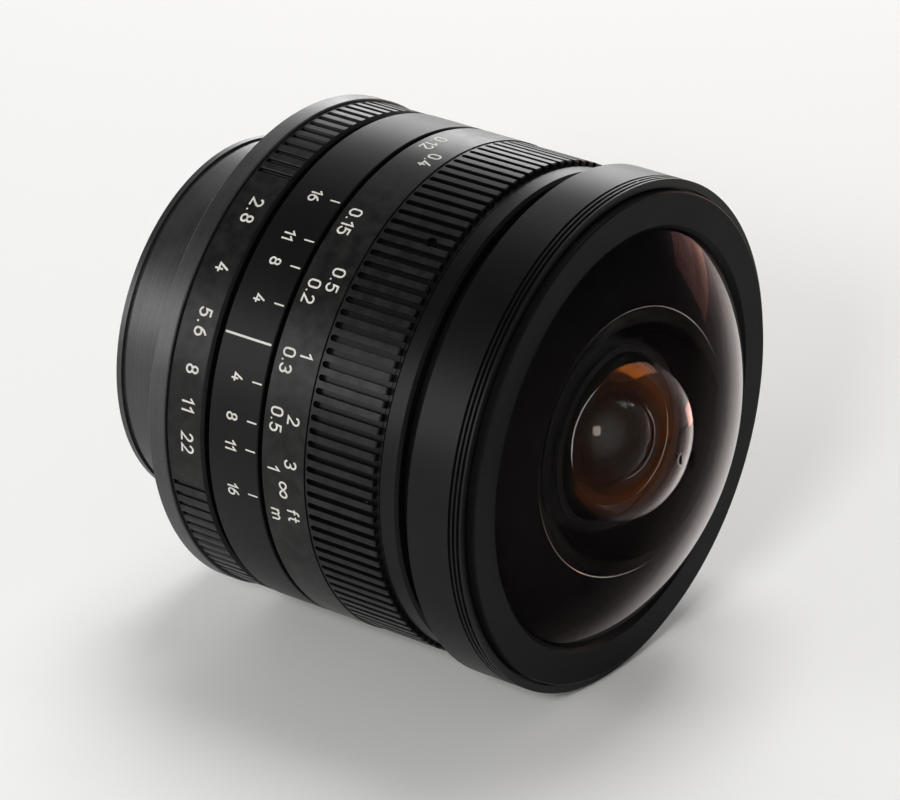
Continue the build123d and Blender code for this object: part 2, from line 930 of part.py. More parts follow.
def front_glass():
    """Each element ahead of the iris: front vertex, front curve, back vertex, back curve."""
    seat = glass_seat()
    dome, second = seat + dome_height, seat + second_ahead
    curves = second_front_curve, second_back_curve
    second_back = second - centre_thickness(second_edge, *curves, second_radius, second_hollow)
    cup_floor = surface(second_back, second_back_curve, second_hollow) - seat_gap
    third_stop = cup_floor - cell_lip_length - seat_gap
    third = third_stop + sag(third_front_curve, third_radius - glass_stop)
    curves = third_front_curve, third_back_curve
    third_back = third - centre_thickness(third_edge, *curves, third_radius, third_hollow)
    spacer_front = surface(third_back, third_back_curve, third_hollow) - seat_gap
    spacer_rear = spacer_front - front_spacer_length
    doublet = spacer_rear - seat_gap + sag(doublet_front_curve, third_radius - front_spacer_wall)
    curves = doublet_front_curve, doublet_joint_curve
    cement = doublet - centre_thickness(doublet_crown_edge, *curves, third_radius)
    curves = doublet_joint_curve, doublet_back_curve
    doublet_back = cement - centre_thickness(doublet_flint_edge, *curves, third_radius)
    return {
        "front_meniscus": (dome, dome_curve(), dome - dome_thickness, hollow_curve()),
        "second_meniscus": (second, second_front_curve, second_back, second_back_curve),
        "third_meniscus": (third, third_front_curve, third_back, third_back_curve),
        "front_doublet_crown": (doublet, doublet_front_curve, cement, doublet_joint_curve),
        "front_doublet_flint": (cement, doublet_joint_curve, doublet_back, doublet_back_curve),
    }


def rear_glass():
    """Each element behind the iris, in the same terms. Every surface has one edge radius."""
    found = {}
    vertex = iris_rear() - singlet_from_iris
    for name, front_curve, back_curve, edge, air in (
        ("rear_singlet", singlet_front_curve, flat, singlet_edge, middle_from_singlet),
        ("middle_doublet_crown", middle_front_curve, middle_joint_curve, middle_crown_edge, 0),
        ("middle_doublet_flint", middle_joint_curve, middle_back_curve, middle_flint_edge, rear_from_middle),
        ("rear_doublet_crown", rear_front_curve, rear_joint_curve, rear_crown_edge, 0),
        ("rear_doublet_flint", rear_joint_curve, flat, rear_flint_edge, last_from_rear),
        ("last_element", last_front_curve, flat, last_edge, 0),
    ):
        back = vertex - centre_thickness(edge, front_curve, back_curve, rear_glass_radius)
        found[name] = (vertex, front_curve, back, back_curve)
        vertex = back - air
    return found


def element_faces(name):
    """An element's front vertex, front curve, back vertex and back curve."""
    front = front_glass()
    return front[name] if name in front else rear_glass()[name]


def glass(name, radius, back_height=None):
    """Make one element. The flint of a cemented pair starts a cement's thickness back."""
    front, front_curve, back, back_curve = element_faces(name)
    if name.endswith("flint"):
        front = front - cement_gap
    with BuildPart() as piece:
        element(front, front_curve, back, back_curve, radius, back_height)
    return piece


def front_meniscus():
    """The bulging front glass, its flat back ground and blacked round a deep hollow."""
    rim = second_radius + cell_gap + cell_cup_wall + hollow_gap
    return glass("front_meniscus", dome_radius, rim)


def second_meniscus():
    """The second glass, a smaller dome inside the hollow of the first."""
    return glass("second_meniscus", second_radius, second_hollow)


def third_meniscus():
    return glass("third_meniscus", third_radius, third_hollow)


def front_doublet_crown():
    """The front half of the cemented pair ahead of the iris, bulging both ways."""
    return glass("front_doublet_crown", third_radius)


def front_doublet_flint():
    return glass("front_doublet_flint", third_radius)


def back_of(name, height):
    """The station of an element's back surface at a height off the axis."""
    return surface(*element_faces(name)[2:], height)


def front_of(name, height):
    """The station of an element's front surface at a height off the axis."""
    return surface(*element_faces(name)[:2], height)


def front_cell():
    """The black cell that holds the glass between the front dome and the iris."""
    seat = glass_seat()
    top = seat - cell_top_gap
    shelf = shell_socket() + shelf_length + seat_gap
    bore = second_radius + cell_gap
    cup = bore + cell_cup_wall
    floor = back_of("second_meniscus", second_hollow) - seat_gap
    small = third_radius + cell_gap
    lip_bore = third_radius - glass_stop
    lip = floor - cell_lip_length
    outer = dome_radius - glass_ledge - cell_gap
    skirt = outer - cell_skirt_wall
    rear = front_cell_rear()
    with BuildPart() as piece:
        turn(
            (rear, small),
            (lip, small),
            (lip, lip_bore),
            (floor, lip_bore),
            (floor, bore),
            (seat + cell_rim_rise, bore),
            (seat + cell_rim_rise, cup),
            (top, cup),
            (top, outer),
            (shelf, outer),
            (shelf, skirt),
            (top - cell_flange, skirt),
            (top - cell_flange, cup),
            (floor - cell_cup_wall, cup),
            (floor - cell_cup_wall, small + cell_wall),
            (rear, small + cell_wall),
        )
    return piece


def second_retainer():
    """The thin ring that holds the second glass in the cell."""
    inner = second_radius - second_retainer_lip
    rear = front_of("second_meniscus", inner) + seat_gap
    with BuildPart() as piece:
        band(rear, rear + second_retainer_length, inner, second_radius + seat_gap)
    return piece


def front_spacer():
    """The ring between the third glass and the doublet."""
    front = back_of("third_meniscus", third_hollow) - seat_gap
    with BuildPart() as piece:
        band(front - front_spacer_length, front, third_radius - front_spacer_wall, third_radius)
    return piece


def doublet_retainer_rear():
    inner = third_radius - doublet_retainer_wall
    return back_of("front_doublet_flint", inner) - seat_gap - doublet_retainer_length


def doublet_retainer():
    """The threaded ring behind the doublet."""
    rear = doublet_retainer_rear()
    front = rear + doublet_retainer_length
    with BuildPart() as piece:
        band(rear, front, third_radius - doublet_retainer_wall, third_radius)
    return piece


# Iris


def iris_housing():
    """The cup that the blades pivot in."""
    rear = iris_rear()
    outer = iris_tube_bore - seat_gap
    inner = outer - iris_wall
    front = rotor_front() + running_gap + cover_thickness
    with BuildPart() as piece:
        band(rear, rear + iris_plate, iris_opening, outer)
        band(rear, front, inner, outer)
        with BuildSketch(across(rear + pivot_hole_floor)) as holes:
            with PolarLocations(pivot_circle, blade_count):
                Circle(iris_pin_radius + running_gap)
        extrude(holes.sketch, amount=iris_plate, mode=Mode.SUBTRACT)
        window(rotor_rear() - rotor_window_gap, front + cut_past, inner, outer, rotor_lever_width)
    return piece


def blade_rest_turn():
    return (blade_turn_open + blade_turn_closed) / 2


def blade_turn_ratio():
    """Blade turn for each unit of aperture ring turn, opposite in sense."""
    return (blade_turn_closed - blade_turn_open) / (2 * aperture_half_turn)


def drive_pin_at(ring_turn):
    """Where the first blade's drive pin is when the aperture ring has turned."""
    direction = drive_pin_direction + blade_rest_turn() - ring_turn * blade_turn_ratio()
    x, y = polar(drive_pin_distance, direction)
    return (pivot_circle + x, y)


def in_rotor(ring_turn):
    """The same pin seen from the turning rotor."""
    x, y = drive_pin_at(ring_turn)
    back = radians(-ring_turn)
    return (x * cos(back) - y * sin(back), x * sin(back) + y * cos(back))


def iris_rotor():
    """The ring with slots that swings all the blades together, and its lever."""
    outer = iris_tube_bore - seat_gap - iris_wall - running_gap
    lever_root = outer - rotor_lever_root
    lever = rotor_lever_reach - lever_root
    ends = aperture_half_turn + focus_end_play
    with BuildPart() as piece:
        with BuildSketch(across(rotor_rear())) as plate:
            Circle(outer)
            with Locations(Location((0, 0, 0), (0, 0, arm_angle))):
                with Locations((lever_root + lever / 2, 0)):
                    Rectangle(lever, rotor_lever_width)
            Circle(pivot_circle - rotor_bore_inset, mode=Mode.SUBTRACT)
            with BuildLine() as path:
                ThreePointArc(in_rotor(-ends), in_rotor(0), in_rotor(ends))
            with PolarLocations(0, blade_count):
                SlotArc(path.edge(), 2 * (iris_pin_radius + running_gap), mode=Mode.SUBTRACT)
        extrude(plate.sketch, amount=rotor_thickness)
    return piece


def iris_blade(number):
    """One crescent blade with its pivot pin behind and its drive pin in front."""
    rear = blades_rear() + number * blade_pitch
    turn_at = number * 360 / blade_count
    place = across(rear).location * Location((0, 0, 0), (0, 0, turn_at))
    place = place * Location((pivot_circle, 0, 0), (0, 0, blade_rest_turn()))
    plane = Plane(place)
    centre = (-pivot_circle, 0)
    outer = pivot_circle - blade_inset
    inner = outer - blade_width
    tab = pivot_circle + blade_tab_rise
    pin_x, pin_y = polar(drive_pin_distance, drive_pin_direction)
    pin_angle = degrees(atan2(pin_y, pivot_circle + pin_x))
    tab_end = pin_angle + degrees(blade_tab_margin / pivot_circle)
    tab_start = -degrees(blade_heel_margin / pivot_circle)
    heel, tip = blade_heel_angle, blade_tip_angle

    def at(radius, angle):
        x, y = polar(radius, angle)
        return (x - pivot_circle, y)

    with BuildPart() as piece:
        with BuildSketch(plane) as outline:
            with BuildLine():
                CenterArc(centre, inner, heel, tip - heel)
                middle = at((inner + outer) / 2, tip + blade_tip_bulge)
                ThreePointArc(at(inner, tip), middle, at(outer, tip))
                CenterArc(centre, outer, tab_end, tip - tab_end)
                Line(at(outer, tab_end), at(tab, tab_end))
                CenterArc(centre, tab, tab_start, tab_end - tab_start)
                Line(at(tab, tab_start), at(inner, heel))
            make_face()
        extrude(outline.sketch, amount=blade_thickness)
        with BuildSketch(plane) as pivot:
            Circle(iris_pin_radius)
        extrude(pivot.sketch, amount=-(rear - iris_rear() - pivot_hole_floor - running_gap))
        with BuildSketch(plane.offset(blade_thickness)) as drive:
            with Locations((pin_x, pin_y)):
                Circle(iris_pin_radius)
        extrude(drive.sketch, amount=rotor_front() - running_gap - rear - blade_thickness)
    return piece


def iris_cover():
    """The ring that keeps the rotor in the housing."""
    rear = rotor_front() + running_gap
    outer = iris_tube_bore - 2 * seat_gap - iris_wall
    with BuildPart() as piece:
        band(rear, rear + cover_thickness, pivot_circle - cover_bore_inset, outer)
    return piece


# Rear glass


def rear_singlet():
    return glass("rear_singlet", rear_glass_radius)


def middle_doublet_crown():
    return glass("middle_doublet_crown", rear_glass_radius)


def middle_doublet_flint():
    return glass("middle_doublet_flint", rear_glass_radius)


def rear_doublet_crown():
    return glass("rear_doublet_crown", rear_glass_radius)


def rear_doublet_flint():
    return glass("rear_doublet_flint", rear_glass_radius)


def last_element():
    """The glass nearest the camera, bulging forward with a flat back."""
    return glass("last_element", rear_glass_radius)


def rear_spacer(behind, ahead):
    """The ring that keeps two rear groups apart."""
    inner = rear_glass_radius - rear_spacer_wall
    heights = inner, rear_glass_radius
    rear = max(front_of(behind, height) for height in heights) + seat_gap
    front = min(back_of(ahead, height) for height in heights) - seat_gap
    with BuildPart() as piece:
        band(rear, front, inner, rear_glass_radius)
    return piece


def rear_spacer_front():
    return rear_spacer("middle_doublet_crown", "rear_singlet")


def rear_spacer_middle():
    return rear_spacer("rear_doublet_crown", "middle_doublet_flint")


def rear_spacer_back():
    return rear_spacer("last_element", "rear_doublet_flint")


def rear_cell_end():
    return back_of("last_element", 0) - rear_cell_past_glass


def rear_cell():
    """The long black tube of the rear groups, hung behind the iris."""
    bore = rear_glass_radius + cell_gap
    outer = bore + rear_cell_wall
    end = rear_cell_end()
    stop = rear_glass_radius - rear_stop
    lip = front_of("rear_singlet", stop) + seat_gap
    flange_front = iris_rear() - tube_behind_iris - seat_gap
    spigot = iris_tube_bore - seat_gap
    with BuildPart() as piece:
        turn(
            (end, bore),
            (lip, bore),
            (lip, stop),
            (flange_front + rear_spigot, stop),
            (flange_front + rear_spigot, spigot),
            (flange_front, spigot),
            (flange_front, iris_tube_outer),
            (flange_front - rear_flange, iris_tube_outer),
            (flange_front - rear_flange, outer),
            (end + rear_cell_chamfer, outer),
            (end, outer - rear_cell_chamfer),
        )
    return piece


def rear_retainer():
    """The threaded ring behind the last glass."""
    inner = rear_glass_radius - rear_spacer_wall
    front = back_of("last_element", inner) - seat_gap
    with BuildPart() as piece:
        band(rear_cell_end() + rear_retainer_inset, front, inner, rear_glass_radius)
    return piece


os.makedirs("parts", exist_ok=True)

for make in (
    bayonet_mount,
    mount_screws,
    rear_baffle,
    main_barrel,
    index_ring,
    focus_retainer,
    guide_keys,
    focus_stop_pin,
    aperture_ring,
    aperture_drive_arm,
    focus_ring,
    helicoid,
    focus_grub_screws,
    lens_barrel,
    front_shell,
    front_ring,
    front_meniscus,
    second_meniscus,
    second_retainer,
    third_meniscus,
    front_spacer,
    front_doublet_crown,
    front_doublet_flint,
    doublet_retainer,
    front_cell,
    iris_housing,
    iris_rotor,
    iris_cover,
    rear_singlet,
    rear_spacer_front,
    middle_doublet_crown,
    middle_doublet_flint,
    rear_spacer_middle,
    rear_doublet_crown,
    rear_doublet_flint,
    rear_spacer_back,
    last_element,
    rear_cell,
    rear_retainer,
):
    save(make(), make.__name__)

for number in range(blade_count):
    save(iris_blade(number), f"iris_blade_{number + 1:02d}")
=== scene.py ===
# %% [markdown]
# # A fisheye lens, from frame to finish
# A fisheye lens lies on its side on a pale table. Its metal rings, its glass and its iris
# come from a packed drawing, where every piece already has its true size and place. This
# lesson adds what a drawing leaves out: the black anodised finish, the painted numbers,
# the heads of the small screws, the coatings of the glass, and the light.
#
# We work in metres, in the frame of the drawing. The optical axis runs along Y and the
# front glass looks towards minus Y. A station is a distance in front of the mount's face,
# and an angle about the axis starts straight up and grows towards minus X. Both are given
# in millimetres and degrees, because that is how a lens maker speaks.

# %% Load the frame
import math

import bmesh
import bpy
from mathutils import Matrix, Vector


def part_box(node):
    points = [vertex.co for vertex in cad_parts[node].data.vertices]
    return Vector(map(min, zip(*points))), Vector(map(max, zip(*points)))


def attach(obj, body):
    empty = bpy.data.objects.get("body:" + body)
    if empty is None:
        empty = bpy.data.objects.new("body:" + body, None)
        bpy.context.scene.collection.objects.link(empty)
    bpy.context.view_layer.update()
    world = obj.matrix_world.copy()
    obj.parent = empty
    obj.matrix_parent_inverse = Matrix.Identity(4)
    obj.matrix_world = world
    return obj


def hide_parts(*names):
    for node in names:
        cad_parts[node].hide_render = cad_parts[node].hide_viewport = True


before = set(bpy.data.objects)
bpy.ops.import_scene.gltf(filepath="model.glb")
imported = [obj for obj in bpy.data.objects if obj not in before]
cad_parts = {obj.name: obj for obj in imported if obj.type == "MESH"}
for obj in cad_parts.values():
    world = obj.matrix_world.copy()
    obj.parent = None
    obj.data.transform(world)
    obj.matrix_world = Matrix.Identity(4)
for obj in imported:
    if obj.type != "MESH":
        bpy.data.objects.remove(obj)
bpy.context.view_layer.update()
scene = bpy.context.scene
scene.view_settings.view_transform = "Standard"
MM = 0.001

# %% [markdown]
# ## The camera
# The picture was taken with a long lens from the front left and a little above, so the
# rings look like nearly true ellipses. We could frame the object by eye, but a camera that
# was solved from those ellipses puts every ring on its own line, so its three directions
# and its place are simply written down. The long lens needs no shift.

# %% Place the camera
camera_place = Vector((-391.9, -308.6, 237.1))
camera_right = Vector((0.5921, -0.8059, 0.0))
camera_up = Vector((0.3556, 0.2613, 0.8974))
camera_back = camera_right.cross(camera_up)
camera_data = bpy.data.cameras.new("camera")
camera_data.sensor_width = 36
camera_data.lens = 188
camera_data.clip_start = 0.01
camera_data.clip_end = 20
camera = bpy.data.objects.new("camera", camera_data)
camera_turn = Matrix((camera_right, camera_up, camera_back)).transposed().to_4x4()
camera.matrix_world = Matrix.Translation(camera_place * MM) @ camera_turn
scene.collection.objects.link(camera)
scene.camera = camera
print("the camera looks along", tuple(round(x, 3) for x in -camera_back))

# %% [markdown]
# ## Node groups that several finishes share
# Anodised aluminium, plated brass and black paint look different, but the same effects
# come back in them: a fine grain from bead blasting, the rings that a lathe leaves, crests
# that hands have rubbed, specks of dust, and faces that are truly round. We could copy
# those nodes into every material. A node group is better: it is built once, and each
# material gives it its own values. A group only hands out colours, masks, heights and
# directions. The shader stays in the material.

# %% Helpers that feed and link nodes
def grey(level):
    return level, level, level


def feed(tree, socket, value):
    """Link another node's output into a socket, or write a plain value there."""
    if isinstance(value, bpy.types.NodeSocket):
        tree.links.new(value, socket)
    elif value is not None:
        socket.default_value = (*value, 1) if socket.type == "RGBA" else value


def fed_node(tree, kind, *values, **settings):
    """A new node with its settings made and its first inputs fed, where None skips one."""
    node = tree.nodes.new(kind)
    for setting, value in settings.items():
        setattr(node, setting, value)
    for socket, value in zip(node.inputs, values):
        feed(tree, socket, value)
    return node


def object_place(tree):
    return fed_node(tree, "ShaderNodeTexCoord").outputs["Object"]


print("grey(0.5) is", grey(0.5))

# %% Helpers that calculate and blend
MIX_SOCKETS = {"FLOAT": (2, 3, 0), "VECTOR": (4, 5, 1), "RGBA": (6, 7, 2)}


def calculate(tree, operation, *values):
    return fed_node(tree, "ShaderNodeMath", *values, operation=operation).outputs[0]


def vector_step(tree, operation, *values):
    return fed_node(tree, "ShaderNodeVectorMath", *values, operation=operation).outputs


def spread(tree, value, low, high, new_low, new_high):
    """Stretch the range from low to high until it fills the new range."""
    node = fed_node(tree, "ShaderNodeMapRange", value, low, high, new_low, new_high)
    return node.outputs[0]


def blend(tree, kind, mask, under, over):
    """Blend two values, directions or colours. Each kind has its own sockets on the node."""
    node = fed_node(tree, "ShaderNodeMix", mask, data_type=kind)
    under_at, over_at, result_at = MIX_SOCKETS[kind]
    feed(tree, node.inputs[under_at], under)
    feed(tree, node.inputs[over_at], over)
    return node.outputs[result_at]


print("blend knows", *MIX_SOCKETS)

# %% Helpers for groups, noises and the axis
FLOAT, COLOR, VECTOR = "NodeSocketFloat", "NodeSocketColor", "NodeSocketVector"


def new_group(name, inputs, outputs):
    """A node group, what it is given, and what it hands out."""
    group = bpy.data.node_groups.new(name, "ShaderNodeTree")
    for label, kind, value in inputs:
        socket = group.interface.new_socket(label, in_out="INPUT", socket_type=kind)
        socket.default_value = (*value, 1) if kind == COLOR else value
    for label, kind in outputs:
        group.interface.new_socket(label, in_out="OUTPUT", socket_type=kind)
    given, handed_out = (group.nodes.new(f"NodeGroup{end}") for end in ("Input", "Output"))
    return group, given.outputs, handed_out.inputs


def noise(tree, place, scale, detail):
    node = fed_node(tree, "ShaderNodeTexNoise", place)
    feed(tree, node.inputs["Scale"], scale)
    feed(tree, node.inputs["Detail"], detail)
    return node.outputs["Fac"]


def across_and_along(tree, vector):
    """Part a place or a direction into what lies across the optical axis and what along it."""
    x, along, z = fed_node(tree, "ShaderNodeSeparateXYZ", vector).outputs
    return fed_node(tree, "ShaderNodeCombineXYZ", x, None, z).outputs[0], along


print("socket kinds:", FLOAT, COLOR, VECTOR)

# %% [markdown]
# ### Bead-blasted grain
# Before anodising, the rings are blasted with fine glass beads, which leaves a skin of
# tiny round dents about a tenth of a millimetre across. The dye then takes a little
# unevenly over a few millimetres. A fine noise gives the dents and a wide one the cloud.
# One noise alone looks like either sandpaper or fog.

# %% Build the grain group
NOISE_RANGE = 0.3, 0.7
DENT_SHARE = 0.55
grain_group, grain_in, grain_out = new_group(
    "bead_blast",
    (
        ("Grain Scale", FLOAT, 9000),
        ("Cloud Scale", FLOAT, 240),
        ("Dark", COLOR, grey(0.004)),
        ("Light", COLOR, grey(0.007)),
        ("Rough Low", FLOAT, 0.34),
        ("Rough High", FLOAT, 0.42),
    ),
    (("Color", COLOR), ("Roughness", FLOAT), ("Height", FLOAT)),
)
place = object_place(grain_group)
dents = noise(grain_group, place, grain_in["Grain Scale"], 3)
cloud = noise(grain_group, place, grain_in["Cloud Scale"], 4)
cloud_part = calculate(grain_group, "MULTIPLY", cloud, 1 - DENT_SHARE)
mixed = calculate(grain_group, "MULTIPLY_ADD", dents, DENT_SHARE, cloud_part)
mixed = spread(grain_group, mixed, *NOISE_RANGE, 0.0, 1.0)
tone = blend(grain_group, "RGBA", mixed, grain_in["Dark"], grain_in["Light"])
ends = grain_in["Rough Low"], grain_in["Rough High"]
grain_group.links.new(tone, grain_out["Color"])
grain_group.links.new(spread(grain_group, cloud, *NOISE_RANGE, *ends), grain_out["Roughness"])
grain_group.links.new(dents, grain_out["Height"])
print("bead_blast:", len(grain_group.nodes), "nodes")

# %% [markdown]
# ### Lathe rings
# Round pieces are turned, and the tool leaves rings a few hundredths of a millimetre
# apart. They run round the axis on a flat face and on a tube alike. Here the distance
# from the axis plus the place along it goes into a sine, so one group serves faces, tubes
# and cones. A picture of brushed metal would stretch at every corner.

# %% Build the lathe group
WAVE_SHARE = 0.5
STREAKS_PER_RING = 0.37
lathe_group, lathe_in, lathe_out = new_group(
    "lathe_rings",
    (("Rings per Metre", FLOAT, 12000), ("Wander", FLOAT, 0.3)),
    (("Height", FLOAT), ("Mask", FLOAT)),
)
across, along = across_and_along(lathe_group, object_place(lathe_group))
radius = vector_step(lathe_group, "LENGTH", across)["Value"]
path = calculate(lathe_group, "ADD", radius, along)
turns = calculate(lathe_group, "MULTIPLY", path, lathe_in["Rings per Metre"])
wave = calculate(lathe_group, "SINE", calculate(lathe_group, "MULTIPLY", turns, 2 * math.pi))
streak = fed_node(lathe_group, "ShaderNodeTexNoise", noise_dimensions="1D")
streak_place = calculate(lathe_group, "MULTIPLY", turns, STREAKS_PER_RING)
for label, value in (("W", streak_place), ("Scale", 1), ("Detail", 2)):
    feed(lathe_group, streak.inputs[label], value)
even = calculate(lathe_group, "MULTIPLY", wave, WAVE_SHARE)
uneven = calculate(lathe_group, "MULTIPLY", streak.outputs["Fac"], lathe_in["Wander"])
lathe_group.links.new(calculate(lathe_group, "ADD", even, uneven), lathe_out["Height"])
lathe_group.links.new(streak.outputs["Fac"], lathe_out["Mask"])
print("lathe_rings:", len(lathe_group.nodes), "nodes")

# %% [markdown]
# ### Rubbed crests
# Fingers touch only what stands out: the tops of the ribs and the knurl. There the black
# is a touch smoother and greyer. We could paint that by hand, but on a turned piece the
# crest is simply where the distance from the axis is greatest, so a mask on that distance
# finds it on every rib at once. A noise breaks it up.

# %% Build the crest group
PATCH_RANGE = 0.35, 0.65
LEAST_RUBBED = 0.25
crest_group, crest_in, crest_out = new_group(
    "rubbed_crests",
    (("Crest Radius", FLOAT, 0.029), ("Depth", FLOAT, 0.0002), ("Patch Scale", FLOAT, 700)),
    (("Mask", FLOAT),),
)
place = object_place(crest_group)
across, _ = across_and_along(crest_group, place)
radius = vector_step(crest_group, "LENGTH", across)["Value"]
above = calculate(crest_group, "SUBTRACT", radius, crest_in["Crest Radius"])
above = calculate(crest_group, "DIVIDE", above, crest_in["Depth"])
reached = spread(crest_group, above, -1.0, 0.0, 0.0, 1.0)
patches = noise(crest_group, place, crest_in["Patch Scale"], 3)
broken = spread(crest_group, patches, *PATCH_RANGE, LEAST_RUBBED, 1.0)
crest_group.links.new(calculate(crest_group, "MULTIPLY", reached, broken), crest_out["Mask"])
print("rubbed_crests:", len(crest_group.nodes), "nodes")

# %% [markdown]
# ### Specks of dust
# A black lens under studio light always shows a few bright specks. A cell texture cuts
# space into cells and gives each a random number, and only the rare cells with a high one
# show a dot at their centre. Real dots would add thousands of tiny meshes for nothing.

# %% Build the dust group
dust_group, dust_in, dust_out = new_group(
    "dust_specks",
    (("Cells per Metre", FLOAT, 420), ("Size", FLOAT, 0.05), ("Rarity", FLOAT, 0.965)),
    (("Mask", FLOAT),),
)
cells = fed_node(dust_group, "ShaderNodeTexVoronoi", object_place(dust_group))
feed(dust_group, cells.inputs["Scale"], dust_in["Cells per Metre"])
luck = fed_node(dust_group, "ShaderNodeSeparateColor", cells.outputs["Color"]).outputs[0]
rare = calculate(dust_group, "GREATER_THAN", luck, dust_in["Rarity"])
near = calculate(dust_group, "LESS_THAN", cells.outputs["Distance"], dust_in["Size"])
dust_group.links.new(calculate(dust_group, "MULTIPLY", rare, near), dust_out["Mask"])
print("dust_specks:", len(dust_group.nodes), "nodes")

# %% [markdown]
# ### True round faces
# A turned face is made of small flat facets, and its start and end meet in one seam along
# the top of the lens. The facets next to the seam lean by a degree, and a glossy black
# face shows that as a hard line. The true direction of a turned face is known: it points
# straight away from the axis, or straight towards it. So this group swaps in the true
# direction wherever the mesh is within about a degree and a half of it. Ribs and flats
# keep their own.

# %% Build the round group
LARGEST_LEAN = 1.6
round_group, _, round_out = new_group("true_round", (), (("Normal", VECTOR),))
surface = fed_node(round_group, "ShaderNodeNewGeometry").outputs
flat_normal, step = across_and_along(round_group, surface["Normal"])
flat_place, _ = across_and_along(round_group, surface["Position"])
away = vector_step(round_group, "NORMALIZE", flat_place)["Vector"]
reach = vector_step(round_group, "LENGTH", flat_normal)["Value"]
outwards = vector_step(round_group, "DOT_PRODUCT", away, flat_normal)["Value"]
share = calculate(round_group, "DIVIDE", calculate(round_group, "ABSOLUTE", outwards), reach)
limit = math.cos(math.radians(LARGEST_LEAN))
is_round = calculate(round_group, "GREATER_THAN", share, limit)
sign = calculate(round_group, "SIGN", outwards)
signed_reach = calculate(round_group, "MULTIPLY", reach, sign)
straight = vector_step(round_group, "SCALE", away, None, None, signed_reach)["Vector"]
level = fed_node(round_group, "ShaderNodeCombineXYZ", None, step).outputs[0]
true_normal = vector_step(round_group, "ADD", straight, level)["Vector"]
chosen = blend(round_group, "VECTOR", is_round, surface["Normal"], true_normal)
round_group.links.new(chosen, round_out["Normal"])
print("true_round:", len(round_group.nodes), "nodes")

# %% [markdown]
# ## Metal finishes
# Every finish below starts the same way: a Principled shader, with a group for each effect
# and a bump that takes its height from them. A few small functions make the start, and
# each finish then sets its own values, as a plater's recipe card would. The depth of a
# bump is written in millimetres.

# %% Helpers that start a material
def new_material(name):
    material = bpy.data.materials.new(name)
    material.use_nodes = True
    return material, material.node_tree, material.node_tree.nodes["Principled BSDF"]


def use_group(tree, group, **values):
    node = fed_node(tree, "ShaderNodeGroup", node_tree=group)
    for label, value in values.items():
        feed(tree, node.inputs[label.replace("_", " ")], value)
    return node.outputs


def add_grain(tree, shader, dark, light, low, high, **scales):
    """Give the shader the grain's colour between two tones and its roughness between two."""
    grain = use_group(
        tree, grain_group, Dark=dark, Light=light, Rough_Low=low, Rough_High=high, **scales
    )
    tree.links.new(grain["Color"], shader.inputs["Base Color"])
    tree.links.new(grain["Roughness"], shader.inputs["Roughness"])
    return grain


def add_bump(tree, shader, height, depth):
    bump = fed_node(tree, "ShaderNodeBump")
    feed(tree, bump.inputs["Distance"], depth * MM)
    feed(tree, bump.inputs["Height"], height)
    feed(tree, bump.inputs["Normal"], use_group(tree, round_group)["Normal"])
    tree.links.new(bump.outputs[0], shader.inputs["Normal"])


print("material helpers are ready")

# %% [markdown]
# ### Black anodised aluminium
# The rings are aluminium, dyed black in the anodising bath and sealed. It is nearly black
# in itself, so almost all that the eye sees is the soft gloss of the seal over the blasted
# skin. We could brighten the colour until it matches a picture, but then it would look
# chalky under any other light. The colour stays near black and the gloss does the work.

# %% Make the anodised finishes
BLACK, GREY_BLACK = (0.0018, 0.0019, 0.0018), (0.0042, 0.0043, 0.0041)
RUBBED_GREY, DUST_GREY = (0.014, 0.014, 0.0135), (0.32, 0.31, 0.29)
RUBBED_SMOOTHER = 0.04
SEAL_GLOSS = 0.15


def anodised(name, dark, light, low, high, crest=None, dents=0.0025, dusty=True):
    """Blasted and dyed. The crests that hands rub start at the given radius in mm."""
    material, tree, shader = new_material(name)
    grain = add_grain(tree, shader, dark, light, low, high)
    color = grain["Color"]
    if crest:
        rubbed = use_group(tree, crest_group, Crest_Radius=crest * MM)["Mask"]
        color = blend(tree, "RGBA", rubbed, color, RUBBED_GREY)
        smoother = blend(tree, "FLOAT", rubbed, grain["Roughness"], low - RUBBED_SMOOTHER)
        tree.links.new(smoother, shader.inputs["Roughness"])
    if dusty:
        color = blend(tree, "RGBA", use_group(tree, dust_group)["Mask"], color, DUST_GREY)
    tree.links.new(color, shader.inputs["Base Color"])
    shader.inputs["Specular IOR Level"].default_value = SEAL_GLOSS
    add_bump(tree, shader, grain["Height"], dents)
    return material


smooth_black = anodised("smooth_black_anodised", BLACK, GREY_BLACK, 0.36, 0.385)
index_black = anodised("index_ring_anodised", BLACK, GREY_BLACK, 0.39, 0.415)
grip_black = anodised("grip_anodised", BLACK, GREY_BLACK, 0.34, 0.37, crest=29.05)
knurl_black = anodised("knurl_anodised", BLACK, GREY_BLACK, 0.34, 0.37, crest=29.1)
print("anodised:", [m.name for m in (smooth_black, index_black, grip_black, knurl_black)])

# %% [markdown]
# ### The flat ring round the glass
# The ring that holds the front glass faces the subject, so it is made dull on purpose:
# turned with a fine feed and anodised. Its faint circles catch the light. The lathe group
# draws them, because on this face the distance from the axis is what changes.

# %% Make the turned black finish
GRAIN_UNDER_RINGS = 0.4


def turned_black(name, dark, light, low, high, rings, depth, gloss):
    material, tree, shader = new_material(name)
    shader.inputs["Specular IOR Level"].default_value = gloss
    grain = add_grain(tree, shader, dark, light, low, high)
    lathe = use_group(tree, lathe_group, Rings_per_Metre=rings)
    height = calculate(
        tree, "MULTIPLY_ADD", grain["Height"], GRAIN_UNDER_RINGS, lathe["Height"]
    )
    add_bump(tree, shader, height, depth)
    return material


face_black = turned_black(
    "turned_black_face", grey(0.003), grey(0.005), 0.40, 0.48, rings=9000, depth=0.002, gloss=0.06
)
print("front ring finish:", face_black.name)

